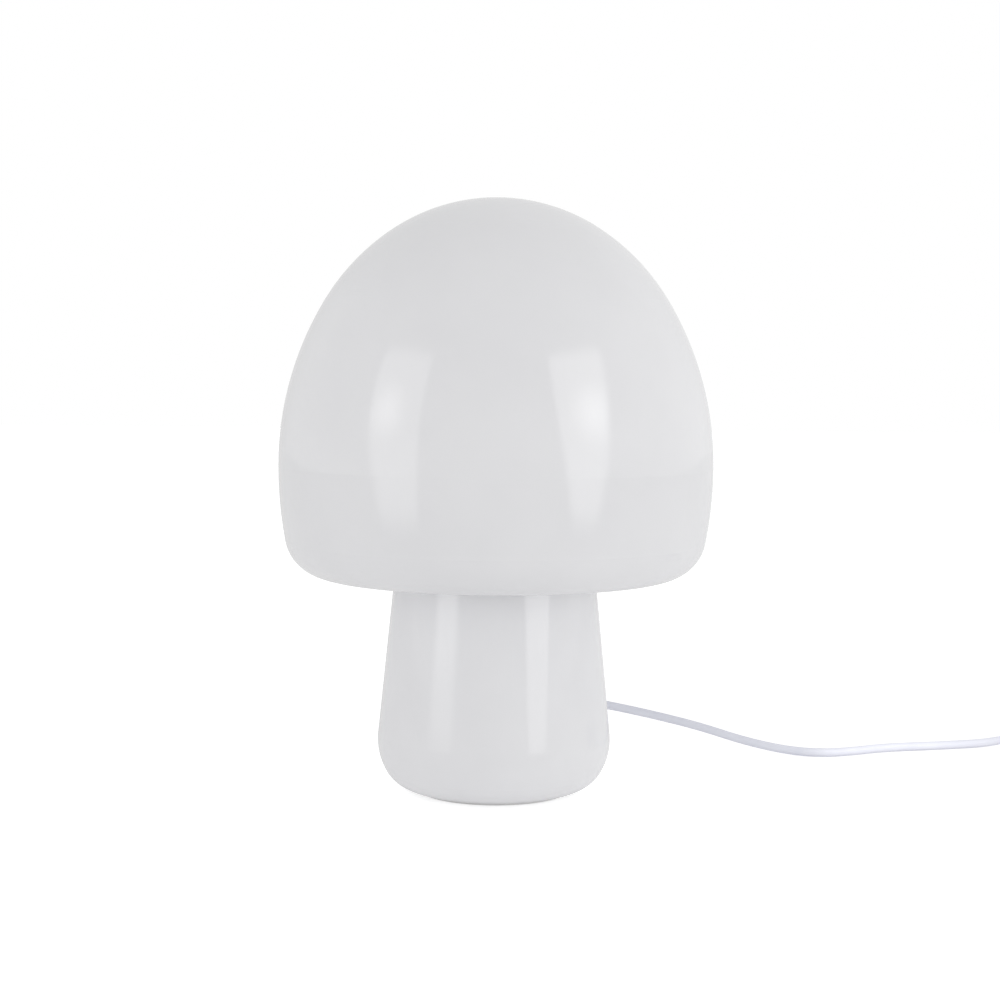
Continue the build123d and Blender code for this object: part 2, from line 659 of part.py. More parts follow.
def screw_shell():
    """Brass sleeve that takes the bulb's cap, with its rivet."""
    outer = SCREW_SHELL_BORE + SCREW_SHELL_WALL
    sleeve = turned_points(
        (SCREW_SHELL_FLANGE_BORE, INSERT_TOP), (outer, INSERT_TOP),
        (outer, INSERT_TOP + SCREW_SHELL_HEIGHT), (SCREW_SHELL_BORE, INSERT_TOP + SCREW_SHELL_HEIGHT),
        (SCREW_SHELL_BORE, INSERT_TOP + SCREW_SHELL_WALL),
        (SCREW_SHELL_FLANGE_BORE, INSERT_TOP + SCREW_SHELL_WALL),
    )
    rivet = rod(RIVET_RADIUS, (NEUTRAL_TERMINAL_X, 0, HOLDER_LEDGE_HEIGHT),
                (NEUTRAL_TERMINAL_X, 0, INSERT_TOP))
    return on_holder(sleeve + rivet)


def centre_contact():
    """Springy strip under the bulb's tip, with its rivet."""
    thick = CONTACT_STRIP_THICKNESS
    foot = LIVE_TERMINAL_X - CONTACT_STRIP_WIDTH / 2
    pad = CONTACT_STRIP_WIDTH / 2
    outline = Polyline(
        (LIVE_TERMINAL_X + pad - thick, INSERT_TOP), (LIVE_TERMINAL_X + pad - thick, INSERT_TOP + thick),
        (foot, INSERT_TOP + thick), (pad, CONTACT_TOP), (-pad, CONTACT_TOP),
        (-pad, CONTACT_TOP - thick), (pad - thick, CONTACT_TOP - thick), (foot - thick, INSERT_TOP),
        close=True)
    strip = extrude(make_face([Plane.XZ * edge for edge in outline.edges()]),
                    CONTACT_STRIP_WIDTH / 2, both=True)
    rivet = rod(RIVET_RADIUS, (LIVE_TERMINAL_X, 0, HOLDER_LEDGE_HEIGHT), (LIVE_TERMINAL_X, 0, INSERT_TOP))
    return on_holder(strip + rivet)


def terminal_screw_height():
    """Height of the terminal screws in the lampholder."""
    return HOLDER_LEDGE_HEIGHT - TERMINAL_HEIGHT / 2 - TERMINAL_SCREW_RADIUS / 2


def holder_terminals():
    """The two brass terminal blocks under the insert."""
    bottom = HOLDER_LEDGE_HEIGHT - TERMINAL_HEIGHT
    blocks = []
    for x in (LIVE_TERMINAL_X, NEUTRAL_TERMINAL_X):
        body = block((x - TERMINAL_WIDTH / 2, -TERMINAL_DEPTH / 2, bottom),
                     (x + TERMINAL_WIDTH / 2, TERMINAL_DEPTH / 2, HOLDER_LEDGE_HEIGHT))
        body -= rod(WIRE_RADIUS + CORD_CLEARANCE, (x, 0, bottom), (x, 0, HOLDER_LEDGE_HEIGHT - 1))
        body -= rod(TERMINAL_SCREW_RADIUS + THREAD_CLEARANCE, (x, 0, terminal_screw_height()),
                    (x, TERMINAL_DEPTH, terminal_screw_height()))
        blocks.append(on_holder(body))
    return Compound(blocks)


def terminal_screws():
    """The screws that hold the wires in their terminals."""
    screws = []
    height = terminal_screw_height()
    face = TERMINAL_DEPTH / 2
    for x in (LIVE_TERMINAL_X, NEUTRAL_TERMINAL_X):
        shank = rod(TERMINAL_SCREW_RADIUS, (x, WIRE_RADIUS + THREAD_CLEARANCE, height), (x, face, height))
        head = rod(TERMINAL_SCREW_HEAD_RADIUS, (x, face, height), (x, face + 1.5, height))
        screws.append(on_holder(shank + head))
    return Compound(screws)


# ---------------------------------------------------------------- bulb
def bulb_contact():
    """Metal tip of the bulb."""
    return rod(BULB_TIP_RADIUS, (0, 0, BULB_TIP), (0, 0, BULB_TIP + BULB_TIP_HEIGHT))


def bulb_insulator():
    """Dark insulator between the tip and the threaded cap."""
    bottom = BULB_TIP + BULB_TIP_HEIGHT
    top_radius = BULB_CAP_RADIUS - BULB_THREAD_DEPTH
    return turned_points((0, bottom), (BULB_TIP_RADIUS + 1, bottom), (top_radius, BULB_CAP_BOTTOM),
                         (0, BULB_CAP_BOTTOM))


def bulb_cap():
    """Threaded metal cap of the bulb, its thread drawn as rounded rings."""
    root = BULB_CAP_RADIUS - BULB_THREAD_DEPTH
    inner = root - BULB_CAP_WALL
    pitch = BULB_CAP_HEIGHT / (BULB_THREAD_TURNS + 1)
    edges = [Line((root, BULB_CAP_TOP), (inner, BULB_CAP_TOP)),
             Line((inner, BULB_CAP_TOP), (inner, BULB_CAP_BOTTOM)),
             Line((inner, BULB_CAP_BOTTOM), (root, BULB_CAP_BOTTOM))]
    height = BULB_CAP_BOTTOM
    for _ in range(BULB_THREAD_TURNS):
        land = height + pitch / 4
        end = height + pitch
        edges.append(Line((root, height), (root, land)))
        edges.append(ThreePointArc((root, land), (BULB_CAP_RADIUS, (land + end) / 2), (root, end)))
        height = end
    edges.append(Line((root, height), (root, BULB_CAP_TOP)))
    return turned(*edges)


def bulb_housing():
    """White flared housing of the bulb."""
    foot = BULB_CAP_RADIUS + BULB_THREAD_DEPTH / 2
    wall = BULB_HOUSING_WALL
    outer = TangentArc((foot, BULB_CAP_TOP), (GLOBE_MOUTH_RADIUS, GLOBE_MOUTH), tangent=(0.15, 1))
    inner = TangentArc((foot - wall, BULB_CAP_TOP), (GLOBE_MOUTH_RADIUS - wall, GLOBE_MOUTH),
                       tangent=(0.15, 1))
    return turned(outer, Line(outer @ 1, inner @ 1), inner, Line(inner @ 0, outer @ 0))


def bulb_globe():
    """Frosted globe of the bulb."""
    centre = (0, GLOBE_CENTRE)
    inner_radius = GLOBE_RADIUS - GLOBE_WALL
    inner_mouth = (inner_radius ** 2 - GLOBE_MOUTH_DROP ** 2) ** 0.5
    outer = ThreePointArc((GLOBE_MOUTH_RADIUS, GLOBE_MOUTH), (GLOBE_RADIUS, GLOBE_CENTRE),
                          (0, GLOBE_CENTRE + GLOBE_RADIUS))
    inner = ThreePointArc((inner_mouth, GLOBE_MOUTH), (inner_radius, GLOBE_CENTRE),
                          (0, centre[1] + inner_radius))
    return turned(outer, Line(outer @ 1, inner @ 1), inner, Line(inner @ 0, outer @ 0))


def board_radius():
    """Radius of the LED board, inside the housing's mouth."""
    return GLOBE_MOUTH_RADIUS - BULB_HOUSING_WALL - LED_BOARD_INSET


def led_board():
    """Aluminium board in the mouth of the bulb's housing."""
    return rod(board_radius(), (0, 0, GLOBE_MOUTH - LED_BOARD_THICKNESS), (0, 0, GLOBE_MOUTH))


def leds():
    """The light-emitting chips on their board."""
    chip = block((-LED_SIZE / 2, -LED_SIZE / 2, GLOBE_MOUTH),
                 (LED_SIZE / 2, LED_SIZE / 2, GLOBE_MOUTH + LED_HEIGHT))
    return Compound([place * chip for place in PolarLocations(LED_CIRCLE, LEDS)])


def led_driver():
    """Small circuit board with its capacitor, under the LED board."""
    top = GLOBE_MOUTH - LED_BOARD_THICKNESS
    board = block((-DRIVER_WIDTH / 2, 0, top - DRIVER_LENGTH),
                  (DRIVER_WIDTH / 2, DRIVER_THICKNESS, top))
    middle = top - DRIVER_LENGTH / 2
    capacitor = rod(3.5, (0, -6, middle), (0, 0, middle))
    coil = block((-4, DRIVER_THICKNESS, middle - 4), (4, DRIVER_THICKNESS + 5, middle + 4))
    return board + capacitor + coil


# ---------------------------------------------------------------- inline switch
def on_switch(solid):
    """A solid drawn about the switch's middle on the table, moved to its place."""
    return Pos(SWITCH_MIDDLE, SWITCH_Y, 0) * solid


def switch_half(bottom, top):
    """The hollow housing between two heights, with the cord's holes and the end rounding."""
    body = extrude(RectangleRounded(SWITCH_LENGTH, SWITCH_WIDTH, SWITCH_CORNER), SWITCH_HEIGHT)
    flats = [body.faces().sort_by(Axis.Z)[0], body.faces().sort_by(Axis.Z)[-1]]
    body = fillet([edge for flat in flats for edge in flat.edges()], SWITCH_EDGE)
    hollow = extrude(RectangleRounded(SWITCH_LENGTH - 2 * SWITCH_WALL, SWITCH_WIDTH - 2 * SWITCH_WALL,
                                      SWITCH_CORNER - SWITCH_WALL), SWITCH_HEIGHT - 2 * SWITCH_WALL)
    body -= Pos(0, 0, SWITCH_WALL) * hollow
    body -= rod(CORD_RADIUS + CORD_CLEARANCE, (-SWITCH_LENGTH, 0, SWITCH_AXIS),
                (SWITCH_LENGTH, 0, SWITCH_AXIS))
    half = block((-SWITCH_LENGTH, -SWITCH_WIDTH, bottom), (SWITCH_LENGTH, SWITCH_WIDTH, top))
    return body & half


def housing_screw_places():
    """Where the two housing screws stand, seen from above."""
    return [(HOUSING_SCREW_X, HOUSING_SCREW_Y), (-HOUSING_SCREW_X, -HOUSING_SCREW_Y)]


def clamp_top():
    """Height of the top of the saddles, just under the clamps."""
    return SWITCH_AXIS + CORD_RADIUS - CORD_CLEARANCE


def switch_lower_shell():
    """Lower half of the switch, with screw posts, cord saddles and contact posts."""
    shell = switch_half(0, SWITCH_AXIS)
    hole = HOUSING_SCREW_RADIUS + SCREW_HOLE_CLEARANCE
    recess = HOUSING_SCREW_RECESS + HOUSING_SCREW_HEAD_HEIGHT
    for x, y in housing_screw_places():
        shell += rod(HOUSING_POST_RADIUS, (x, y, SWITCH_WALL / 2), (x, y, SWITCH_AXIS))
    for x, y in housing_screw_places():
        shell -= rod(hole, (x, y, 0), (x, y, SWITCH_AXIS))
        shell -= rod(HOUSING_SCREW_HEAD_RADIUS + SCREW_HOLE_CLEARANCE, (x, y, 0), (x, y, recess))
    half = CLAMP_LENGTH / 2
    trough = CORD_RADIUS + CORD_CLEARANCE
    for x in (-CLAMP_X, CLAMP_X):
        saddle = block((x - half, -CLAMP_WIDTH / 2, SWITCH_WALL / 2), (x + half, CLAMP_WIDTH / 2, clamp_top()))
        saddle -= rod(trough, (x - half, 0, SWITCH_AXIS), (x + half, 0, SWITCH_AXIS))
        saddle -= block((x - half, -trough, SWITCH_AXIS), (x + half, trough, SWITCH_HEIGHT))
        for y in (-CLAMP_SCREW_Y, CLAMP_SCREW_Y):
            saddle -= rod(CLAMP_SCREW_RADIUS + THREAD_CLEARANCE, (x, y, 2 * SWITCH_WALL),
                          (x, y, SWITCH_HEIGHT))
        shell += saddle
    return on_switch(shell)


def window_half_length():
    """Half the length of the rocker's window, clear of the rocker at both ends of its travel."""
    tilt = radians(ROCKER_TILT)
    return (ROCKER_LENGTH / 2 * cos(tilt) + ROCKER_ABOVE_PIVOT * tan(tilt) + ROCKER_END_GAP)


def switch_upper_shell():
    """Upper half of the switch, with the rocker's window and its two lugs."""
    shell = switch_half(SWITCH_AXIS, SWITCH_HEIGHT)
    window = window_half_length()
    side = ROCKER_WIDTH / 2 + ROCKER_SIDE_GAP
    ceiling = SWITCH_HEIGHT - SWITCH_WALL / 2
    shell -= block((-window, -side, SWITCH_AXIS), (window, side, SWITCH_HEIGHT))
    bore = PIVOT_RADIUS + PIVOT_CLEARANCE
    for y in (-LUG_INNER_Y - LUG_WIDTH, LUG_INNER_Y):
        shell += block((-LUG_LENGTH / 2, y, PIVOT_HEIGHT - 2 * PIVOT_RADIUS),
                       (LUG_LENGTH / 2, y + LUG_WIDTH, ceiling))
    shell -= rod(bore, (0, -SWITCH_WIDTH / 2 + SWITCH_WALL, PIVOT_HEIGHT),
                 (0, SWITCH_WIDTH / 2 - SWITCH_WALL, PIVOT_HEIGHT))
    hole = HOUSING_SCREW_RADIUS + THREAD_CLEARANCE
    for x, y in housing_screw_places():
        shell += rod(HOUSING_POST_RADIUS, (x, y, SWITCH_AXIS), (x, y, ceiling))
        shell -= rod(hole, (x, y, SWITCH_AXIS), (x, y, ceiling - SWITCH_WALL / 2))
    return on_switch(shell)


def tilted(solid):
    """A solid drawn level about the rocker's pivot, tipped to its off position in the switch."""
    return on_switch(Pos(0, 0, PIVOT_HEIGHT) * Rot(Y=-ROCKER_TILT) * solid)


def switch_rocker():
    """The rocker with its dished top and its two pivot stubs."""
    half = ROCKER_LENGTH / 2
    top = ROCKER_ABOVE_PIVOT
    outline = [Line((-half, -ROCKER_BELOW_PIVOT), (half, -ROCKER_BELOW_PIVOT)),
               Line((half, -ROCKER_BELOW_PIVOT), (half, top)),
               ThreePointArc((half, top), (0, top - ROCKER_DISH), (-half, top)),
               Line((-half, top), (-half, -ROCKER_BELOW_PIVOT))]
    body = extrude(make_face([Plane.XZ * edge for edge in outline]), ROCKER_WIDTH / 2, both=True)
    reach = LUG_INNER_Y + LUG_WIDTH - ROCKER_SIDE_GAP
    body += rod(PIVOT_RADIUS, (0, -reach, 0), (0, reach, 0))
    return tilted(body)


def switch_rocker_contact():
    """Contact blade under the rocker."""
    reach = CONTACT_REACH + SWITCH_TERMINAL / 4
    return tilted(block((-reach, -SWITCH_TERMINAL / 2, -ROCKER_BELOW_PIVOT - CONTACT_BLADE_THICKNESS),
                        (reach, SWITCH_TERMINAL / 2, -ROCKER_BELOW_PIVOT)))


def switch_live_terminals():
    """The fixed contacts: one under the pivot, one that the rocker's blade comes down on."""
    drop = ROCKER_BELOW_PIVOT + CONTACT_BLADE_THICKNESS
    tilt = radians(ROCKER_TILT)
    reach = CONTACT_REACH + SWITCH_TERMINAL / 2
    end_top = PIVOT_HEIGHT - (drop + reach * tan(tilt)) * cos(tilt) - CONTACT_GAP
    half = SWITCH_TERMINAL / 2
    middle = block((-half / 2, -half, SWITCH_WALL), (half / 2, half, PIVOT_HEIGHT - drop - 2 * CONTACT_GAP))
    end = block((CONTACT_REACH - half, -half, SWITCH_WALL), (CONTACT_REACH + half, half, end_top))
    return Compound([on_switch(middle), on_switch(end)])


def switch_neutral_terminal():
    """Brass link that joins the neutral wires."""
    half = SWITCH_TERMINAL / 2
    reach = NEUTRAL_LINK_LENGTH / 2
    return on_switch(block((-reach, NEUTRAL_LINK_Y - half, SWITCH_WALL),
                           (reach, NEUTRAL_LINK_Y + half, SWITCH_WALL + NEUTRAL_LINK_HEIGHT)))


def wire_landing():
    """Height at which the wires meet the switch's terminals."""
    return SWITCH_WALL + NEUTRAL_LINK_HEIGHT / 2 + WIRE_RADIUS


def switch_wire(side, y, terminal_x, terminal_y):
    """A wire from the cord's end on one side (-1 or 1) to the face of a terminal."""
    start = side * (SWITCH_LENGTH / 2 - CORD_END_LENGTH)
    land = wire_landing()
    return on_switch(wire([
        (start, y, SWITCH_AXIS),
        (start - side * 3, y, SWITCH_AXIS),
        (terminal_x + side * 4, terminal_y, land),
        (terminal_x, terminal_y, land),
    ]))


def switch_live_wires():
    """Brown wires from both cord ends to the fixed contacts."""
    half = SWITCH_TERMINAL / 2
    return Compound([
        switch_wire(-1, WIRE_OFFSET, -half / 2, WIRE_OFFSET / 2),
        switch_wire(1, WIRE_OFFSET, CONTACT_REACH + half, WIRE_OFFSET / 2),
    ])


def switch_neutral_wires():
    """Blue wires from both cord ends to the neutral link."""
    half = NEUTRAL_LINK_LENGTH / 2
    return Compound([switch_wire(side, -WIRE_OFFSET, side * half, NEUTRAL_LINK_Y) for side in (-1, 1)])


def switch_cord_ends():
    """The cord's jacket inside both ends of the switch."""
    end = SWITCH_LENGTH / 2
    return Compound([
        on_switch(rod(CORD_RADIUS, (side * end, 0, SWITCH_AXIS),
                      (side * (end - CORD_END_LENGTH), 0, SWITCH_AXIS)))
        for side in (-1, 1)])


def switch_cord_clamps():
    """Bars that hold the cord down in its saddles."""
    half = CLAMP_LENGTH / 2
    bottom = SWITCH_AXIS + CORD_RADIUS
    clamps = []
    for x in (-CLAMP_X, CLAMP_X):
        bar = block((x - half, -CLAMP_WIDTH / 2, bottom), (x + half, CLAMP_WIDTH / 2, bottom + CLAMP_THICKNESS))
        for y in (-CLAMP_SCREW_Y, CLAMP_SCREW_Y):
            bar -= rod(CLAMP_SCREW_RADIUS + SCREW_HOLE_CLEARANCE, (x, y, bottom), (x, y, SWITCH_HEIGHT))
        clamps.append(on_switch(bar))
    return Compound(clamps)


def clamp_screws():
    """The four screws of the cord clamps."""
    seat = SWITCH_AXIS + CORD_RADIUS + CLAMP_THICKNESS
    screws = []
    for x in (-CLAMP_X, CLAMP_X):
        for y in (-CLAMP_SCREW_Y, CLAMP_SCREW_Y):
            screw = rod(CLAMP_SCREW_RADIUS, (x, y, 2 * SWITCH_WALL), (x, y, seat))
            screw += rod(CLAMP_SCREW_HEAD_RADIUS, (x, y, seat), (x, y, seat + CLAMP_SCREW_HEAD_HEIGHT))
            screws.append(on_switch(screw))
    return Compound(screws)


def housing_screws():
    """The two screws that join the switch's halves, in from below."""
    seat = HOUSING_SCREW_RECESS + HOUSING_SCREW_HEAD_HEIGHT
    tip = SWITCH_HEIGHT - 2 * SWITCH_WALL
    screws = []
    for x, y in housing_screw_places():
        screw = rod(HOUSING_SCREW_RADIUS, (x, y, seat), (x, y, tip))
        screw += rod(HOUSING_SCREW_HEAD_RADIUS, (x, y, HOUSING_SCREW_RECESS), (x, y, seat))
        screws.append(on_switch(screw))
    return Compound(screws)


# ---------------------------------------------------------------- mains cord
def cord_lamp_to_switch():
    """From the strain relief, round behind the lamp, down to the table and to the switch."""
    exit_y = boot_end()
    return cord("lamp to switch", [
        (0, exit_y, GLAND_HEIGHT),
        (0, exit_y + 17, GLAND_HEIGHT),
        (9, exit_y + 33.5, 33.5),
        (26, exit_y + 43, 32),
        (47, exit_y + 45, 30),
        (75, 136, 25.8),
        (104, 131, 20.5),
        (133, 123, 14.7),
        (160, 114, 7.4),
        (186, 105, 3.2),
        (208, 98.5, CORD_ON_TABLE),
        (229, 106, CORD_ON_TABLE),
        (251, 118.5, CORD_ON_TABLE),
        (290, 127, CORD_ON_TABLE),
        (328, 139, CORD_ON_TABLE),
        (SWITCH_START - LINK_END_RUN, SWITCH_Y, SWITCH_AXIS),
        (SWITCH_START, SWITCH_Y, SWITCH_AXIS),
    ])


def cord_switch_to_coil():
    """From the switch down to the coil's first layer."""
    start = SWITCH_START + SWITCH_LENGTH
    slope_start = start + LINK_END_RUN
    slope_end = slope_start + LINK_MIDDLE_RUN
    return cord("switch to coil", [
        (start, SWITCH_Y, SWITCH_AXIS),
        (slope_start, SWITCH_Y, SWITCH_AXIS),
        (slope_end, SWITCH_Y, CORD_ON_TABLE),
        (slope_end + LINK_END_RUN, SWITCH_Y, CORD_ON_TABLE),
    ])


def coil_edges():
    """The coil's path: clockwise inwards, up one layer in a half turn, and outwards again."""
    at = Vector(COIL_X, SWITCH_Y, CORD_ON_TABLE)
    heading = Vector(1, 0, 0)
    edges = [Line(at - CORD_DIAMETER * heading, at)]
    shrink = COIL_PITCH / 2
    inward = [COIL_RADIUS - shrink * half_turn for half_turn in range(COIL_HALF_TURNS)]
    for radius in inward:
        at, heading = add_half_turn(edges, at, heading, radius, 0.0)
    at, heading = add_half_turn(edges, at, heading, inward[-1] - shrink, COIL_RISE)
    for radius in reversed(inward):
        at, heading = add_half_turn(edges, at, heading, radius, 0.0)
    edges.append(Line(at, at + CORD_DIAMETER * heading))
    return edges


def add_half_turn(edges, at, heading, radius, rise):
    """Adds a clockwise half turn as two quarter arcs that meet smoothly, climbing by rise."""
    across = 2 * radius * Vector(heading.Y, -heading.X, 0) + Vector(0, 0, rise)
    middle = at + across / 2 + heading * (across.length / 2)
    end = at + across
    edges.append(TangentArc(at, middle, tangent=heading))
    edges.append(TangentArc(middle, end, tangent=across.normalized()))
    return end, heading * -1


def least_self_gap(path, step=3.0):
    """Least distance between turns of the coil's surface, measured on points along its path."""
    count = int(path.length / step)
    points = [path.position_at(index / count) for index in range(count + 1)]
    skip = int(pi * COIL_PITCH / step) + int(4 * CORD_DIAMETER / step)
    nearest = min((points[j] - points[i]).length
                  for i in range(count + 1) for j in range(i + skip, count + 1))
    return nearest - CORD_DIAMETER


def cord_coil():
    """The put-away length, in two layers of flat turns."""
    path = Wire(coil_edges())
    solid = tube(path, CORD_RADIUS)
    drawn = pi * CORD_RADIUS ** 2 * path.length
    print("coil length", round(path.length, 1), "volume ratio", round(solid.volume / drawn, 4),
          "least gap", round(least_self_gap(path), 2))
    return solid


def coil_exit():
    """Where the cord leaves the coil."""
    return coil_edges()[-1] @ 1


def plug_entry():
    """Where the cord enters the plug's strain relief."""
    return Vector(coil_exit().X - LINK_LENGTH, coil_exit().Y, PLUG_AXIS)


def cord_coil_to_plug():
    """From the coil's top layer straight into the plug's strain relief."""
    start = coil_exit()
    last_run = Vector(LINK_END_RUN, 0).rotate(Axis.Z, -PLUG_TURN)
    return cord("coil to plug", [
        start,
        start - Vector(LINK_END_RUN, 0),
        plug_entry() + last_run,
        plug_entry(),
    ])


# ---------------------------------------------------------------- plug
def on_plug(solid):
    """A solid drawn from the plug's pin face, body along +X, turned and moved to its place."""
    from_entry = Pos(-PLUG_LENGTH - PLUG_BOOT_LENGTH, 0, 0)
    return Pos(plug_entry()) * Rot(Z=-PLUG_TURN) * from_entry * solid


def plug_body():
    """Moulded plug body with its strain relief."""
    wide = PLUG_WIDTH / 2
    neck = PLUG_NECK_WIDTH / 2
    outline = Polyline((0, -wide), (PLUG_GRIP_LENGTH, -wide), (PLUG_LENGTH, -neck), (PLUG_LENGTH, neck),
                       (PLUG_GRIP_LENGTH, wide), (0, wide), close=True)
    body = extrude(make_face(outline.edges()), PLUG_THICKNESS / 2, both=True)
    body = fillet(body.edges(), PLUG_EDGE)
    for pin_y in (-PIN_SPACING / 2, PIN_SPACING / 2):
        body -= rod(PIN_CORE_RADIUS, (0, pin_y, 0), (PIN_ROOT, pin_y, 0))
    boot = strain_relief(PLUG_BOOT_LENGTH + PLUG_EDGE, PLUG_NECK_WIDTH / 2 - 0.5, BOOT_TIP_RADIUS)
    return on_plug(body + Pos(PLUG_LENGTH - PLUG_EDGE, 0, 0) * Rot(Y=90) * boot)


def plug_pins():
    """The two round contact pins, thinner inside their sleeves."""
    pins = []
    for pin_y in (-PIN_SPACING / 2, PIN_SPACING / 2):
        pin = turned_points((0, -PIN_ROOT), (PIN_CORE_RADIUS, -PIN_ROOT), (PIN_CORE_RADIUS, PIN_SLEEVE_LENGTH),
                            (PIN_RADIUS, PIN_SLEEVE_LENGTH), (PIN_RADIUS, PIN_LENGTH - PIN_RADIUS / 2),
                            (PIN_RADIUS / 2, PIN_LENGTH), (0, PIN_LENGTH))
        pins.append(on_plug(Pos(0, pin_y, 0) * Rot(Y=-90) * pin))
    return Compound(pins)


def plug_pin_sleeves():
    """Insulating sleeves on the pins, next to the plug's body."""
    sleeves = []
    for pin_y in (-PIN_SPACING / 2, PIN_SPACING / 2):
        sleeve = ring(PIN_CORE_RADIUS, PIN_RADIUS, 0, PIN_SLEEVE_LENGTH)
        sleeves.append(on_plug(Pos(0, pin_y, 0) * Rot(Y=-90) * sleeve))
    return Compound(sleeves)


SUB_PARTS = [
    shade_glass, shade_cushion, stem_glass, foot_pad, rim_gasket, carrier_plate,
    threaded_rod, rod_nuts, base_rubber_washer, base_steel_washer, lock_washer,
    cord_gland, gland_washer, gland_nut, cord_in_base, live_wire, neutral_wire,
    holder_cap, holder_grub_screw, holder_insert, holder_shell, screw_shell, centre_contact,
    holder_terminals, terminal_screws,
    bulb_contact, bulb_insulator, bulb_cap, bulb_housing, bulb_globe, led_board, leds, led_driver,
    switch_lower_shell, switch_upper_shell, switch_rocker, switch_rocker_contact,
    switch_live_terminals, switch_neutral_terminal, switch_live_wires, switch_neutral_wires,
    switch_cord_ends, switch_cord_clamps, clamp_screws, housing_screws,
    cord_lamp_to_switch, cord_switch_to_coil, cord_coil, cord_coil_to_plug,
    plug_body, plug_pins, plug_pin_sleeves,
]

os.makedirs("parts", exist_ok=True)
for sub_part in SUB_PARTS:
    export_step(sub_part(), "parts/" + sub_part.__name__ + ".step")
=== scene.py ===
"""The looks of the mushroom table lamp: camera, cords, finishes, floor and light.

Metres, in the part's own frame: the origin is the middle of the foot on the table, +Z is
up, -Y is the front, and the cord leaves the stem at the back and runs towards +X.
"""
import json
from math import cos, pi, radians, sin

import bpy
from mathutils import Matrix, Vector


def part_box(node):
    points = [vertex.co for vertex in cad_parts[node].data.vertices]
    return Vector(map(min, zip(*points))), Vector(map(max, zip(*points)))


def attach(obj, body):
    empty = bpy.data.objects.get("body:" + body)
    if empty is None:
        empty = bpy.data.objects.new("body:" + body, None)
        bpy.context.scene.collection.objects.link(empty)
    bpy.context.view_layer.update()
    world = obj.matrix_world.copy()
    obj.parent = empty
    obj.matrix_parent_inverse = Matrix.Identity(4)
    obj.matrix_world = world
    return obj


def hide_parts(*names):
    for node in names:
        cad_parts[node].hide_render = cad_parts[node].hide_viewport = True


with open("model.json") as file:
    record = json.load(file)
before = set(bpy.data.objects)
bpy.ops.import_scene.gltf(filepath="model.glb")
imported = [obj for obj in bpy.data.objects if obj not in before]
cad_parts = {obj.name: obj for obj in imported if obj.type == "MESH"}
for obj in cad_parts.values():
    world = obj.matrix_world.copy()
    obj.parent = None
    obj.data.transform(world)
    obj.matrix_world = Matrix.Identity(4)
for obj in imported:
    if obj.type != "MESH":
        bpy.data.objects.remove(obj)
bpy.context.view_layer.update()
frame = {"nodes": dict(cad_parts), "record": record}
nodes = frame["nodes"]
scene = bpy.context.scene


def add_object(name, data):
    """A new object of the scene, with that data."""
    added = bpy.data.objects.new(name, data)
    scene.collection.objects.link(added)
    return added


# ---------------------------------------------------------------- camera
SENSOR_WIDTH = 36.0               # millimetres, as the lens
LENS = 70.9
CAMERA_PLACE = (0.0025, -1.1362, 0.2494)
CAMERA_TILT = radians(4.045)      # down from level
CAMERA_ROLL = radians(0.459)


def make_camera():
    """The photograph's view: from the front, a little above the middle of the lamp."""
    data = bpy.data.cameras.new("camera")
    data.sensor_width = SENSOR_WIDTH
    data.lens = LENS
    camera = add_object("camera", data)
    turn = Matrix.Rotation(pi / 2 - CAMERA_TILT, 4, "X") @ Matrix.Rotation(CAMERA_ROLL, 4, "Z")
    camera.matrix_world = Matrix.Translation(CAMERA_PLACE) @ turn
    scene.camera = camera


make_camera()

# ---------------------------------------------------------------- the mains cord
CORD_DIAMETER = 0.0055
CORD_ORDER = 3                    # of the smooth curve
CORD_STEPS = 8                    # from one of its control points to the next
CORD_ROUNDNESS = 6                # more makes its section rounder
CORD_AXIS_ON_TABLE = 0.0028
GLAND_HEIGHT = 0.034
BOOT_END = 0.09357                # y where the cord leaves its strain relief
SWITCH_START = 0.366
SWITCH_END = 0.428
SWITCH_Y = 0.145
SWITCH_AXIS = 0.009
SWITCH_RUN = 0.012                # of the cord, straight out of the switch
COIL_RUN = 0.032                  # from the switch to the cord's last corner before the coil
COIL_START = 0.4775               # x where the coil's first half turn begins
COIL_RADIUS = 0.041
COIL_SHRINK = 0.00305             # of the radius with each half turn
COIL_HALF_TURNS = 5               # in each of its two layers, with one more that climbs between them
COIL_RISE = 0.006
POINTS_PER_HALF_TURN = 6
PLUG_AXIS = 0.007
PLUG_TURN = radians(5.0)
LAST_RUN = 0.012                  # of the cord, straight into the plug

LAMP_TO_SWITCH = [
    (0.0, BOOT_END, GLAND_HEIGHT),
    (0.0, BOOT_END + 0.017, GLAND_HEIGHT),
    (0.009, BOOT_END + 0.0335, 0.0335),
    (0.026, BOOT_END + 0.043, 0.032),
    (0.047, BOOT_END + 0.045, 0.030),
    (0.075, 0.136, 0.0258),
    (0.104, 0.131, 0.0205),
    (0.133, 0.123, 0.0147),
    (0.160, 0.114, 0.0074),
    (0.186, 0.105, 0.0032),
    (0.208, 0.0985, CORD_AXIS_ON_TABLE),
    (0.229, 0.106, CORD_AXIS_ON_TABLE),
    (0.251, 0.1185, CORD_AXIS_ON_TABLE),
    (0.290, 0.127, CORD_AXIS_ON_TABLE),
    (0.328, 0.139, CORD_AXIS_ON_TABLE),
    (0.354, SWITCH_Y, SWITCH_AXIS),
    (SWITCH_START, SWITCH_Y, SWITCH_AXIS),
]


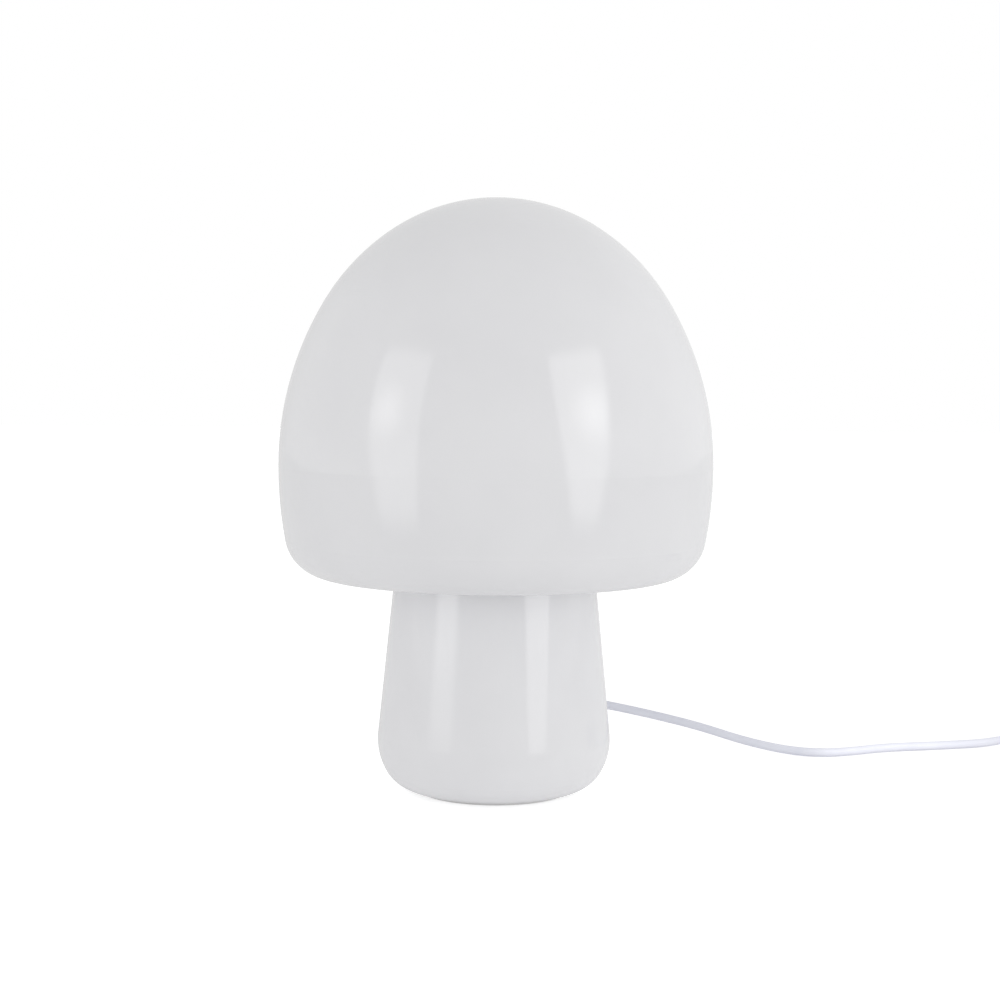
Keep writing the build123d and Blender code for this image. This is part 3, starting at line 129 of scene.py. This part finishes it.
def coil_points():
    """The coil's control points: half turns that spiral in, climb a layer and spiral out."""
    inward = [COIL_RADIUS - COIL_SHRINK * turn for turn in range(COIL_HALF_TURNS)]
    radii = inward + [inward[-1] - COIL_SHRINK] + inward[::-1]
    step = pi / POINTS_PER_HALF_TURN
    points = []
    start = SWITCH_Y
    side = -1.0                   # the first half turn bends towards -Y
    for half_turn, radius in enumerate(radii):
        centre = start + side * radius
        reach = radius / cos(step / 2)
        for index in range(POINTS_PER_HALF_TURN):
            angle = (index + 0.5) * step
            past_layer = half_turn - COIL_HALF_TURNS + (index + 0.5) / POINTS_PER_HALF_TURN
            climbed = max(0.0, min(1.0, past_layer))
            points.append((COIL_START - side * reach * sin(angle),
                           centre - side * reach * cos(angle),
                           CORD_AXIS_ON_TABLE + COIL_RISE * climbed))
        start = centre + side * radius
        side = -side
    return points, start


def switch_to_plug():
    """Control points from the switch, through the coil, to the plug's entry."""
    turns, coil_end = coil_points()
    top = CORD_AXIS_ON_TABLE + COIL_RISE
    entry = Vector((SWITCH_END, coil_end, PLUG_AXIS))
    last_run = LAST_RUN * Vector((cos(PLUG_TURN), -sin(PLUG_TURN), 0.0))
    return [
        (SWITCH_END, SWITCH_Y, SWITCH_AXIS),
        (SWITCH_END + SWITCH_RUN, SWITCH_Y, SWITCH_AXIS),
        (SWITCH_END + COIL_RUN, SWITCH_Y, CORD_AXIS_ON_TABLE),
        *turns,
        (SWITCH_END + COIL_RUN, coil_end, top),
        tuple(entry + last_run),
        tuple(entry),
    ]


def cord_curve(name, points):
    """A round cord on one smooth curve, with those points as its control points."""
    curve = bpy.data.curves.new(name, "CURVE")
    curve.dimensions = "3D"
    curve.resolution_u = CORD_STEPS
    curve.bevel_depth = 1.0       # times each point's own radius, which the curve's box counts too
    curve.bevel_resolution = CORD_ROUNDNESS
    curve.use_fill_caps = True
    spline = curve.splines.new("NURBS")
    spline.points.add(len(points) - 1)
    for control, place in zip(spline.points, points):
        control.co = (*place, 1.0)
        control.radius = CORD_DIAMETER / 2
    spline.order_u = CORD_ORDER
    spline.use_endpoint_u = True
    cord = add_object(name, curve)
    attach(cord, "base")
    return cord


lamp_cord = cord_curve("mains_cord_to_switch", LAMP_TO_SWITCH)
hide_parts("cord_lamp_to_switch")

plug_cord = cord_curve("mains_cord_to_plug", switch_to_plug())
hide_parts("cord_switch_to_coil", "cord_coil", "cord_coil_to_plug")


# ---------------------------------------------------------------- shader nodes
def map_range(tree, value, start, end, low, high, smooth=False):
    """A value between start and end, spread from low to high."""
    node = tree.nodes.new("ShaderNodeMapRange")
    if smooth:
        node.interpolation_type = "SMOOTHSTEP"
    node.inputs["From Min"].default_value = start
    node.inputs["From Max"].default_value = end
    node.inputs["To Min"].default_value = low
    node.inputs["To Max"].default_value = high
    tree.links.new(value, node.inputs["Value"])
    return node.outputs["Result"]


def product(tree, first, second):
    """Two values multiplied."""
    node = tree.nodes.new("ShaderNodeMath")
    node.operation = "MULTIPLY"
    tree.links.new(first, node.inputs[0])
    tree.links.new(second, node.inputs[1])
    return node.outputs["Value"]


def total(tree, first, second):
    """Two values added."""
    node = tree.nodes.new("ShaderNodeMath")
    tree.links.new(first, node.inputs[0])
    tree.links.new(second, node.inputs[1])
    return node.outputs["Value"]


def vector_step(tree, operation, vector, other=None, result="Value"):
    """One vector operation, with a constant vector where it takes two."""
    node = tree.nodes.new("ShaderNodeVectorMath")
    node.operation = operation
    tree.links.new(vector, node.inputs[0])
    if other is not None:
        node.inputs[1].default_value = other
    return node.outputs[result]


def by_ray(tree, kind, light, other):
    """One value, and another, as a number or a socket, for that kind of ray."""
    path = tree.nodes.new("ShaderNodeLightPath")
    mix = tree.nodes.new("ShaderNodeMix")
    tree.links.new(path.outputs[kind], mix.inputs["Factor"])
    tree.links.new(light, mix.inputs["A"])
    if isinstance(other, float):
        mix.inputs["B"].default_value = other
    else:
        tree.links.new(other, mix.inputs["B"])
    return mix.outputs["Result"]


def empty_material(name):
    """A material with nothing in it but its output; returns it, its tree and that socket."""
    material = bpy.data.materials.new(name)
    material.use_nodes = True
    tree = material.node_tree
    tree.nodes.clear()
    output = tree.nodes.new("ShaderNodeOutputMaterial")
    return material, tree, output.inputs["Surface"]


# ---------------------------------------------------------------- finishes
COLOUR_SPREAD = (0.33, 0.67)      # of a noise, over which a colour goes from its low to its high
GLOSS_SPREAD = (0.3, 0.7)         # the same for a roughness


def new_finish(name):
    """A material with a Principled shader; returns it, its tree and the shader."""
    material, tree, surface = empty_material(name)
    shader = tree.nodes.new("ShaderNodeBsdfPrincipled")
    tree.links.new(shader.outputs["BSDF"], surface)
    return material, tree, shader


def noise(tree, size, detail=3.0):
    """A noise texture on the object's own coordinates, its patches about that size in metres."""
    place = tree.nodes.new("ShaderNodeTexCoord")
    texture = tree.nodes.new("ShaderNodeTexNoise")
    texture.inputs["Scale"].default_value = 1.0 / size
    texture.inputs["Detail"].default_value = detail
    tree.links.new(place.outputs["Object"], texture.inputs["Vector"])
    return texture.outputs["Fac"]


def colour_between(tree, shader, factor, low, high):
    """The shader's colour, from low to high with the factor."""
    ramp = tree.nodes.new("ShaderNodeValToRGB")
    for stop, position, colour in zip(ramp.color_ramp.elements, COLOUR_SPREAD, (low, high)):
        stop.position = position
        stop.color = (*colour, 1.0)
    tree.links.new(factor, ramp.inputs["Fac"])
    tree.links.new(ramp.outputs["Color"], shader.inputs["Base Color"])


def roughness_between(tree, shader, factor, low, high):
    """The shader's roughness, from low to high with the factor."""
    tree.links.new(map_range(tree, factor, *GLOSS_SPREAD, low, high), shader.inputs["Roughness"])


def bump(tree, shader, factor, depth, strength):
    """A bump of that depth in metres."""
    node = tree.nodes.new("ShaderNodeBump")
    node.inputs["Strength"].default_value = strength
    node.inputs["Distance"].default_value = depth
    tree.links.new(factor, node.inputs["Height"])
    tree.links.new(node.outputs["Normal"], shader.inputs["Normal"])


def opal(name, low, high):
    """Opal glass: cased milk glass, fire-polished, with a faint blown waviness."""
    material, tree, shader = new_finish(name)
    colour_between(tree, shader, noise(tree, size=0.05, detail=2.0), low, high)
    roughness_between(tree, shader, noise(tree, size=0.03), low=0.055, high=0.085)
    bump(tree, shader, noise(tree, size=0.06, detail=1.0), depth=0.0006, strength=0.35)
    shader.inputs["IOR"].default_value = 1.5
    return material


def moulded(name, low, high, roughness, grain=0.0004, depth=0.00001):
    """A plastic, enamel or ceramic: fine grain, slightly uneven colour and gloss."""
    material, tree, shader = new_finish(name)
    colour_between(tree, shader, noise(tree, size=0.012), low, high)
    roughness_between(tree, shader, noise(tree, size=0.006), roughness - 0.04, roughness + 0.05)
    bump(tree, shader, noise(tree, size=grain, detail=2.0), depth, strength=0.6)
    shader.inputs["IOR"].default_value = 1.49
    return material


def metal(name, low, high, roughness):
    """A metal with a fine grain and a slight tarnish."""
    grain = 0.0008
    material, tree, shader = new_finish(name)
    colour_between(tree, shader, noise(tree, size=0.008, detail=4.0), low, high)
    roughness_between(tree, shader, noise(tree, size=grain, detail=4.0),
                      roughness - 0.06, roughness + 0.10)
    bump(tree, shader, noise(tree, size=grain), depth=0.00001, strength=0.5)
    shader.inputs["Metallic"].default_value = 1.0
    return material


def soft(name, low, high, roughness):
    """Silicone or rubber: matt, with a soft sheen and a dusty unevenness."""
    material, tree, shader = new_finish(name)
    colour_between(tree, shader, noise(tree, size=0.005, detail=4.0), low, high)
    roughness_between(tree, shader, noise(tree, size=0.003), roughness - 0.05, roughness + 0.08)
    bump(tree, shader, noise(tree, size=0.0006), depth=0.00002, strength=0.6)
    shader.inputs["Sheen Weight"].default_value = 0.15
    return material


def frosted(name, low, high):
    """The bulb's frosted diffuser."""
    material, tree, shader = new_finish(name)
    colour_between(tree, shader, noise(tree, size=0.02), low, high)
    roughness_between(tree, shader, noise(tree, size=0.001, detail=4.0), low=0.36, high=0.5)
    bump(tree, shader, noise(tree, size=0.0003, detail=2.0), depth=0.00001, strength=0.5)
    shader.inputs["Subsurface Weight"].default_value = 0.3
    shader.inputs["Subsurface Radius"].default_value = (0.004, 0.004, 0.004)
    return material


# Each slot's kind of finish and the two colours that it varies between; then, where the
# kind leaves them open, its roughness and the size and depth of its grain.
SLOTS = {
    "opal_glass": (opal, (0.862, 0.862, 0.880), (0.882, 0.882, 0.899)),
    "white_silicone": (soft, (0.80, 0.80, 0.79), (0.86, 0.86, 0.85), 0.55),
    "black_rubber": (soft, (0.012, 0.012, 0.012), (0.03, 0.03, 0.03), 0.65),
    "white_enamel": (moulded, (0.81, 0.81, 0.80), (0.83, 0.83, 0.82), 0.30, 0.0012, 0.00003),
    "zinc_steel": (metal, (0.56, 0.57, 0.60), (0.72, 0.73, 0.74), 0.28),
    "white_nylon": (moulded, (0.80, 0.80, 0.82), (0.82, 0.82, 0.84), 0.34),
    "white_thermoset": (moulded, (0.82, 0.82, 0.81), (0.84, 0.84, 0.83), 0.28),
    "ceramic_insert": (moulded, (0.72, 0.70, 0.64), (0.80, 0.78, 0.73), 0.60, 0.0008, 0.00004),
    "brass": (metal, (0.62, 0.42, 0.16), (0.78, 0.57, 0.26), 0.26),
    "nickel_cap": (metal, (0.58, 0.57, 0.55), (0.72, 0.71, 0.69), 0.24),
    "nickel_pins": (metal, (0.62, 0.61, 0.58), (0.76, 0.75, 0.72), 0.18),
    "black_insulator": (moulded, (0.012, 0.012, 0.014), (0.022, 0.022, 0.024), 0.22),
    "frosted_diffuser": (frosted, (0.88, 0.88, 0.87), (0.92, 0.92, 0.91)),
    "white_board": (moulded, (0.74, 0.74, 0.72), (0.80, 0.80, 0.78), 0.40),
    "led_phosphor": (moulded, (0.78, 0.56, 0.08), (0.86, 0.66, 0.14), 0.35),
    "green_board": (moulded, (0.02, 0.16, 0.05), (0.04, 0.22, 0.08), 0.38),
    "cord_sheath": (moulded, (0.75, 0.76, 0.84), (0.78, 0.79, 0.86), 0.36, 0.0008, 0.00002),
    "brown_wire": (moulded, (0.10, 0.035, 0.012), (0.14, 0.05, 0.02), 0.35),
    "blue_wire": (moulded, (0.012, 0.06, 0.30), (0.02, 0.09, 0.38), 0.35),
}
FINISHES = {slot: make(slot, *details) for slot, (make, *details) in SLOTS.items()}


def dress(piece, slot):
    """Gives a piece the finish of one of the record's slots."""
    piece.data.materials.clear()
    piece.data.materials.append(FINISHES[slot])


for part in frame["record"]["subparts"]:
    dress(nodes[part["node"]], part["material_slot"])
for cord in (lamp_cord, plug_cord):
    dress(cord, "cord_sheath")


# ---------------------------------------------------------------- modelled pieces
def new_piece(name, places, faces, body, slot):
    """A smooth mesh piece with its body and finish."""
    mesh = bpy.data.meshes.new(name)
    mesh.from_pydata(places, [], faces)
    mesh.polygons.foreach_set("use_smooth", [True] * len(mesh.polygons))
    mesh.update()
    piece = add_object(name, mesh)
    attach(piece, body)
    dress(piece, slot)
    return piece


def ring_faces(loops, count):
    """Faces that join each closed loop of points to the next, and the last to the first."""
    faces = []
    for loop in range(loops):
        following = (loop + 1) % loops
        for index in range(count):
            beside = (index + 1) % count
            faces.append((loop * count + index, loop * count + beside,
                          following * count + beside, following * count + index))
    return faces


# ---------------------------------------------------------------- the bulb's thread
THREAD_DEPTH = 0.0009
THREAD_TURNS = 6
CAP_WALL = 0.0005
CAP_COLUMNS = 96
ROWS_PER_TURN = 16


def rolled_thread_cap():
    """The bulb's cap with a round thread that winds up it and runs out at both ends."""
    low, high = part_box("bulb_cap")
    middle_x = (low[0] + high[0]) / 2
    middle_y = (low[1] + high[1]) / 2
    root = (high[0] - low[0]) / 2 - THREAD_DEPTH
    pitch = (high[2] - low[2]) / THREAD_TURNS
    circles = []
    for row in range(THREAD_TURNS * ROWS_PER_TURN + 1):
        turns = row / ROWS_PER_TURN
        run_out = min(1.0, turns, THREAD_TURNS - turns)
        circle = []
        for column in range(CAP_COLUMNS):
            angle = 2 * pi * column / CAP_COLUMNS
            crest = (1 - cos(2 * pi * turns - angle)) / 2
            circle.append((root + THREAD_DEPTH * crest * run_out, angle, low[2] + turns * pitch))
        circles.append(circle)
    for height in (high[2], low[2]):
        circles.append([(root - CAP_WALL, angle, height) for _, angle, _ in circles[0]])
    places = [(middle_x + radius * cos(angle), middle_y + radius * sin(angle), height)
              for circle in circles for radius, angle, height in circle]
    faces = ring_faces(len(circles), CAP_COLUMNS)
    cap = new_piece("bulb_thread_cap", places, faces, "bulb", "nickel_cap")
    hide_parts("bulb_cap")


rolled_thread_cap()

# ---------------------------------------------------------------- the rocker's ON and OFF marks
ROCKER_LENGTH = 0.0152
ROCKER_TOP = 0.005                # above its pivot, at its two ends
ROCKER_DISH = 0.0012
ROCKER_TILT = radians(8.0)
PIVOT_HEIGHT = 0.014
MARK_PLACE = 0.0044               # of both marks, from the rocker's middle
MARK_SIZE = 0.0015
MARK_STROKE = 0.0006
MARK_CORE = 0.000006              # radius that the bar's top closes to
MARK_PROUD = 0.00008
MARK_SUNK = 0.0002
MARK_POINTS = 40


def dish_height(x):
    """Height of the rocker's dished top above its pivot."""
    half = ROCKER_LENGTH / 2
    radius = (half ** 2 + ROCKER_DISH ** 2) / (2 * ROCKER_DISH)
    return ROCKER_TOP - ROCKER_DISH + radius - (radius ** 2 - x ** 2) ** 0.5


def stadium(x, half_length, radius):
    """An outline of two half circles, that far to each side of x and joined by straight sides."""
    outline = []
    for index in range(MARK_POINTS):
        angle = 2 * pi * (index + 0.5) / MARK_POINTS
        side = half_length if cos(angle) > 0 else -half_length
        outline.append((x + side + radius * cos(angle), radius * sin(angle)))
    return outline


def rocker_mark(name, outer, inner):
    """A raised mark between two outlines, on the dished top."""
    pivot = ((SWITCH_START + SWITCH_END) / 2, SWITCH_Y, PIVOT_HEIGHT)
    tilted = Matrix.Translation(pivot) @ Matrix.Rotation(-ROCKER_TILT, 4, "Y")
    loops = [(outer, -MARK_SUNK), (outer, MARK_PROUD), (inner, MARK_PROUD), (inner, -MARK_SUNK)]
    places = [tilted @ Vector((x, y, dish_height(x) + lift))
              for outline, lift in loops for x, y in outline]
    new_piece(name, places, ring_faces(len(loops), MARK_POINTS), "rocker", "black_insulator")


def make_marks():
    """A ring for OFF and a bar for ON."""
    bar_half = MARK_SIZE - MARK_STROKE / 2
    rocker_mark("off_mark", stadium(-MARK_PLACE, 0.0, MARK_SIZE),
                stadium(-MARK_PLACE, 0.0, MARK_SIZE - MARK_STROKE))
    rocker_mark("on_mark", stadium(MARK_PLACE, bar_half, MARK_STROKE / 2),
                stadium(MARK_PLACE, bar_half, MARK_CORE))


make_marks()

# ---------------------------------------------------------------- surroundings, floor and light
LEFT_LIGHT = 0.98                 # radiance of the white surroundings at the left horizon
RIGHT_LIGHT = 1.255               # and at the right one
TOP_LIGHT = 0.49                  # share of that straight from above
LEFT_REFLECTED = 0.76             # what glossy surfaces mirror of them, left of the middle
RIGHT_REFLECTED = 0.86            # and right of it
REFLECTED_SPREAD = 0.4            # sine of the angle from the middle to where those hold
SIDES_REFLECTED = (0.34, 0.28)    # added to those at the left and the right horizon
WHITE = 1.0                       # what the camera sees of the surroundings
FLOOR_SIZE = 12.0
FLOOR_WHITE = 0.80
FLOOR_GLOW = 0.085                # light that the studio table adds from below
FOOT_GLOW = 0.22                  # the same at the lamp's foot
FOOT_GLOW_REACH = 0.30            # from the foot's middle
SIDE_GLOWS = (0.085, 0.13)        # what it adds to that on the left and on the right
SIDE_GLOW_START = 0.05            # sideways from the foot's middle
SIDE_GLOW_END = 0.22
FLOOR_GLOW_SEEN = 0.58            # what the camera sees in its place, which keeps the floor white
PANEL_POWER = 4.0                 # watts per square metre, for a radiance near one
SOFTBOX_FLOOR_GAP = 0.004
SHADE_BOX_HEIGHT = 0.58
STEM_BOX_HEIGHT = 0.165
LEFT_BOX_PLACE = (-0.331, -0.324)     # x and y of a point of its plane, which faces the lamp's axis
RIGHT_BOX_PLACE = (0.310, -0.355)
CORD_LIGHT_PLACE = (0.29, 0.03, 0.063)
CORD_LIGHT_TILT = radians(50.0)       # towards the back, from straight down
CORD_LIGHT_SIZE = 0.12
CORD_LIGHT_LEVEL = 1.25


def sides(tree, sideways, start, end, levels):
    """Nothing in the middle, and those levels on the left and on the right."""
    left = map_range(tree, sideways, -start, -end, 0.0, levels[0], smooth=True)
    right = map_range(tree, sideways, start, end, 0.0, levels[1], smooth=True)
    return total(tree, left, right)


def make_surroundings():
    """White surroundings, a little brighter from the right, that light the lamp softly."""
    world = bpy.data.worlds.new("surroundings")
    world.use_nodes = True
    tree = world.node_tree
    background = tree.nodes["Background"]
    background.inputs["Color"].default_value = (1.0, 1.0, 1.0, 1.0)
    place = tree.nodes.new("ShaderNodeTexCoord")
    axes = tree.nodes.new("ShaderNodeSeparateXYZ")
    tree.links.new(place.outputs["Generated"], axes.inputs["Vector"])
    sideways = axes.outputs["X"]
    along_horizon = map_range(tree, sideways, -1.0, 1.0, LEFT_LIGHT, RIGHT_LIGHT)
    upwards = map_range(tree, axes.outputs["Z"], 0.0, 1.0, 1.0, TOP_LIGHT)
    light = product(tree, along_horizon, upwards)
    middle = map_range(tree, sideways, -REFLECTED_SPREAD, REFLECTED_SPREAD,
                       LEFT_REFLECTED, RIGHT_REFLECTED, smooth=True)
    outer = sides(tree, sideways, REFLECTED_SPREAD, 1.0, SIDES_REFLECTED)
    light = by_ray(tree, "Is Glossy Ray", light, total(tree, middle, outer))
    light = by_ray(tree, "Is Camera Ray", light, WHITE)
    tree.links.new(light, background.inputs["Strength"])
    scene.world = world


def floor_light(tree):
    """How much light the floor adds at each place, and what the camera sees of that."""
    place = tree.nodes.new("ShaderNodeTexCoord").outputs["Object"]
    from_foot = vector_step(tree, "LENGTH", place)
    light = map_range(tree, from_foot, 0.0, FOOT_GLOW_REACH, FOOT_GLOW, FLOOR_GLOW, smooth=True)
    sideways = vector_step(tree, "DOT_PRODUCT", place, (1.0, 0.0, 0.0))
    light = total(tree, light, sides(tree, sideways, SIDE_GLOW_START, SIDE_GLOW_END, SIDE_GLOWS))
    return by_ray(tree, "Is Camera Ray", light, FLOOR_GLOW_SEEN)


def make_floor():
    """A plain pale floor, lit a little from below about the lamp's foot."""
    half = FLOOR_SIZE / 2
    corners = [(-half, -half, 0), (half, -half, 0), (half, half, 0), (-half, half, 0)]
    mesh = bpy.data.meshes.new("floor")
    mesh.from_pydata(corners, [], [(0, 1, 2, 3)])
    floor = add_object("floor", mesh)
    material, tree, surface = empty_material("pale_floor")
    diffuse = tree.nodes.new("ShaderNodeBsdfDiffuse")
    diffuse.inputs["Color"].default_value = (FLOOR_WHITE, FLOOR_WHITE, FLOOR_WHITE, 1.0)
    glow = tree.nodes.new("ShaderNodeEmission")
    both = tree.nodes.new("ShaderNodeAddShader")
    tree.links.new(floor_light(tree), glow.inputs["Strength"])
    tree.links.new(diffuse.outputs["BSDF"], both.inputs[0])
    tree.links.new(glow.outputs["Emission"], both.inputs[1])
    tree.links.new(both.outputs["Shader"], surface)
    mesh.materials.append(material)


def panel_light(name, width, height, piece):
    """A flat area light for that piece alone; returns it and its node tree."""
    data = bpy.data.lights.new(name, "AREA")
    data.shape = "RECTANGLE"
    data.size = width
    data.size_y = height
    data.energy = PANEL_POWER * width * height
    data.use_nodes = True
    lamp = add_object(name, data)
    lamp.visible_camera = False
    lamp.visible_shadow = False
    receivers = bpy.data.collections.new(name + "_pieces")
    receivers.objects.link(piece)
    lamp.light_linking.receiver_collection = receivers
    return lamp, data.node_tree


def softbox(name, piece, place, aside, width, height, level, hot, hot_place, hot_size, edges):
    """A soft box that shows as a reflection in one piece.

    It stands upright, faces the lamp's axis and is moved aside in its own plane. Its face
    runs from 0 to 1 across and up. Its light is level all over, and more by hot at
    hot_place, which fades out over hot_size. Each edge is (across, up, start, end): the
    light rises from none to full as across * u + up * v goes from start to end.
    """
    lamp, tree = panel_light(name, width, height, piece)
    face = tree.nodes.new("ShaderNodeNewGeometry").outputs["Parametric"]
    off_centre = vector_step(tree, "SUBTRACT", face, (*hot_place, 0.0), "Vector")
    shares = (1 / hot_size[0], 1 / hot_size[1], 0.0)
    distance = vector_step(tree, "LENGTH", vector_step(tree, "MULTIPLY", off_centre, shares, "Vector"))
    light = map_range(tree, distance, 0.0, 1.0, level + hot, level, smooth=True)
    for across, up, start, end in edges:
        along = vector_step(tree, "DOT_PRODUCT", face, (across, up, 0.0))
        light = product(tree, light, map_range(tree, along, start, end, 0.0, 1.0, smooth=True))
    tree.links.new(light, tree.nodes["Emission"].inputs["Strength"])
    back = Vector((*place, 0.0)).normalized()
    sideways = Vector((0.0, 0.0, 1.0)).cross(back)
    lamp.location = Vector((*place, SOFTBOX_FLOOR_GAP + height / 2)) + aside * sideways
    lamp.rotation_euler = back.to_track_quat("Z", "Y").to_euler()
    lamp.visible_diffuse = False


def make_softboxes():
    """Two soft boxes for the shade, and their lower parts for the stem."""
    shade = nodes["shade_glass"]
    stem = nodes["stem_glass"]
    softbox("softbox_left", shade, LEFT_BOX_PLACE,
            aside=-0.0266, width=0.288, height=SHADE_BOX_HEIGHT,
            level=0.95, hot=1.35, hot_place=(0.407, 0.57), hot_size=(0.37, 0.19),
            edges=[(-1, 0, -0.941, -0.844), (1.35, 0.82, 0.47, 0.73), (1, 0, 0.0, 0.15),
                   (0, 1, 0.03, 0.20), (0, -1, -0.98, -0.84)])
    softbox("softbox_right", shade, RIGHT_BOX_PLACE,
            aside=0.0241, width=0.318, height=SHADE_BOX_HEIGHT,
            level=1.25, hot=1.5, hot_place=(0.576, 0.58), hot_size=(0.42, 0.20),
            edges=[(1.65, 0.63, 0.40, 0.58), (1, 0, 0.036, 0.133), (-1.65, 0.71, -1.03, -0.74),
                   (0, 1, 0.03, 0.20), (0, -1, -1.0, -0.87)])
    softbox("softbox_left_low", stem, LEFT_BOX_PLACE,
            aside=-0.0426, width=0.277, height=STEM_BOX_HEIGHT,
            level=0.55, hot=1.1, hot_place=(0.5, 1.0), hot_size=(9.0, 0.95),
            edges=[(1, 0, 0.0, 0.35), (-1, 0, -1.0, -0.73), (0, 1, 0.0, 0.12)])
    softbox("softbox_right_low", stem, RIGHT_BOX_PLACE,
            aside=0.0386, width=0.27, height=STEM_BOX_HEIGHT,
            level=0.9, hot=0.8, hot_place=(0.5, 1.0), hot_size=(9.0, 0.8),
            edges=[(1, 0, 0.0, 0.15), (-1.4, 0.75, -0.8, -0.55), (0, 1, 0.0, 0.10)])


def make_cord_light():
    """A soft light before the cord's outer stretch."""
    lamp, tree = panel_light("cord_light", CORD_LIGHT_SIZE, CORD_LIGHT_SIZE, lamp_cord)
    tree.nodes["Emission"].inputs["Strength"].default_value = CORD_LIGHT_LEVEL
    lamp.location = CORD_LIGHT_PLACE
    lamp.rotation_euler = (CORD_LIGHT_TILT, 0.0, 0.0)


make_surroundings()
make_floor()
make_softboxes()
make_cord_light()
scene.view_settings.view_transform = "Standard"
scene.cycles.use_denoising = True

bpy.context.view_layer.update()
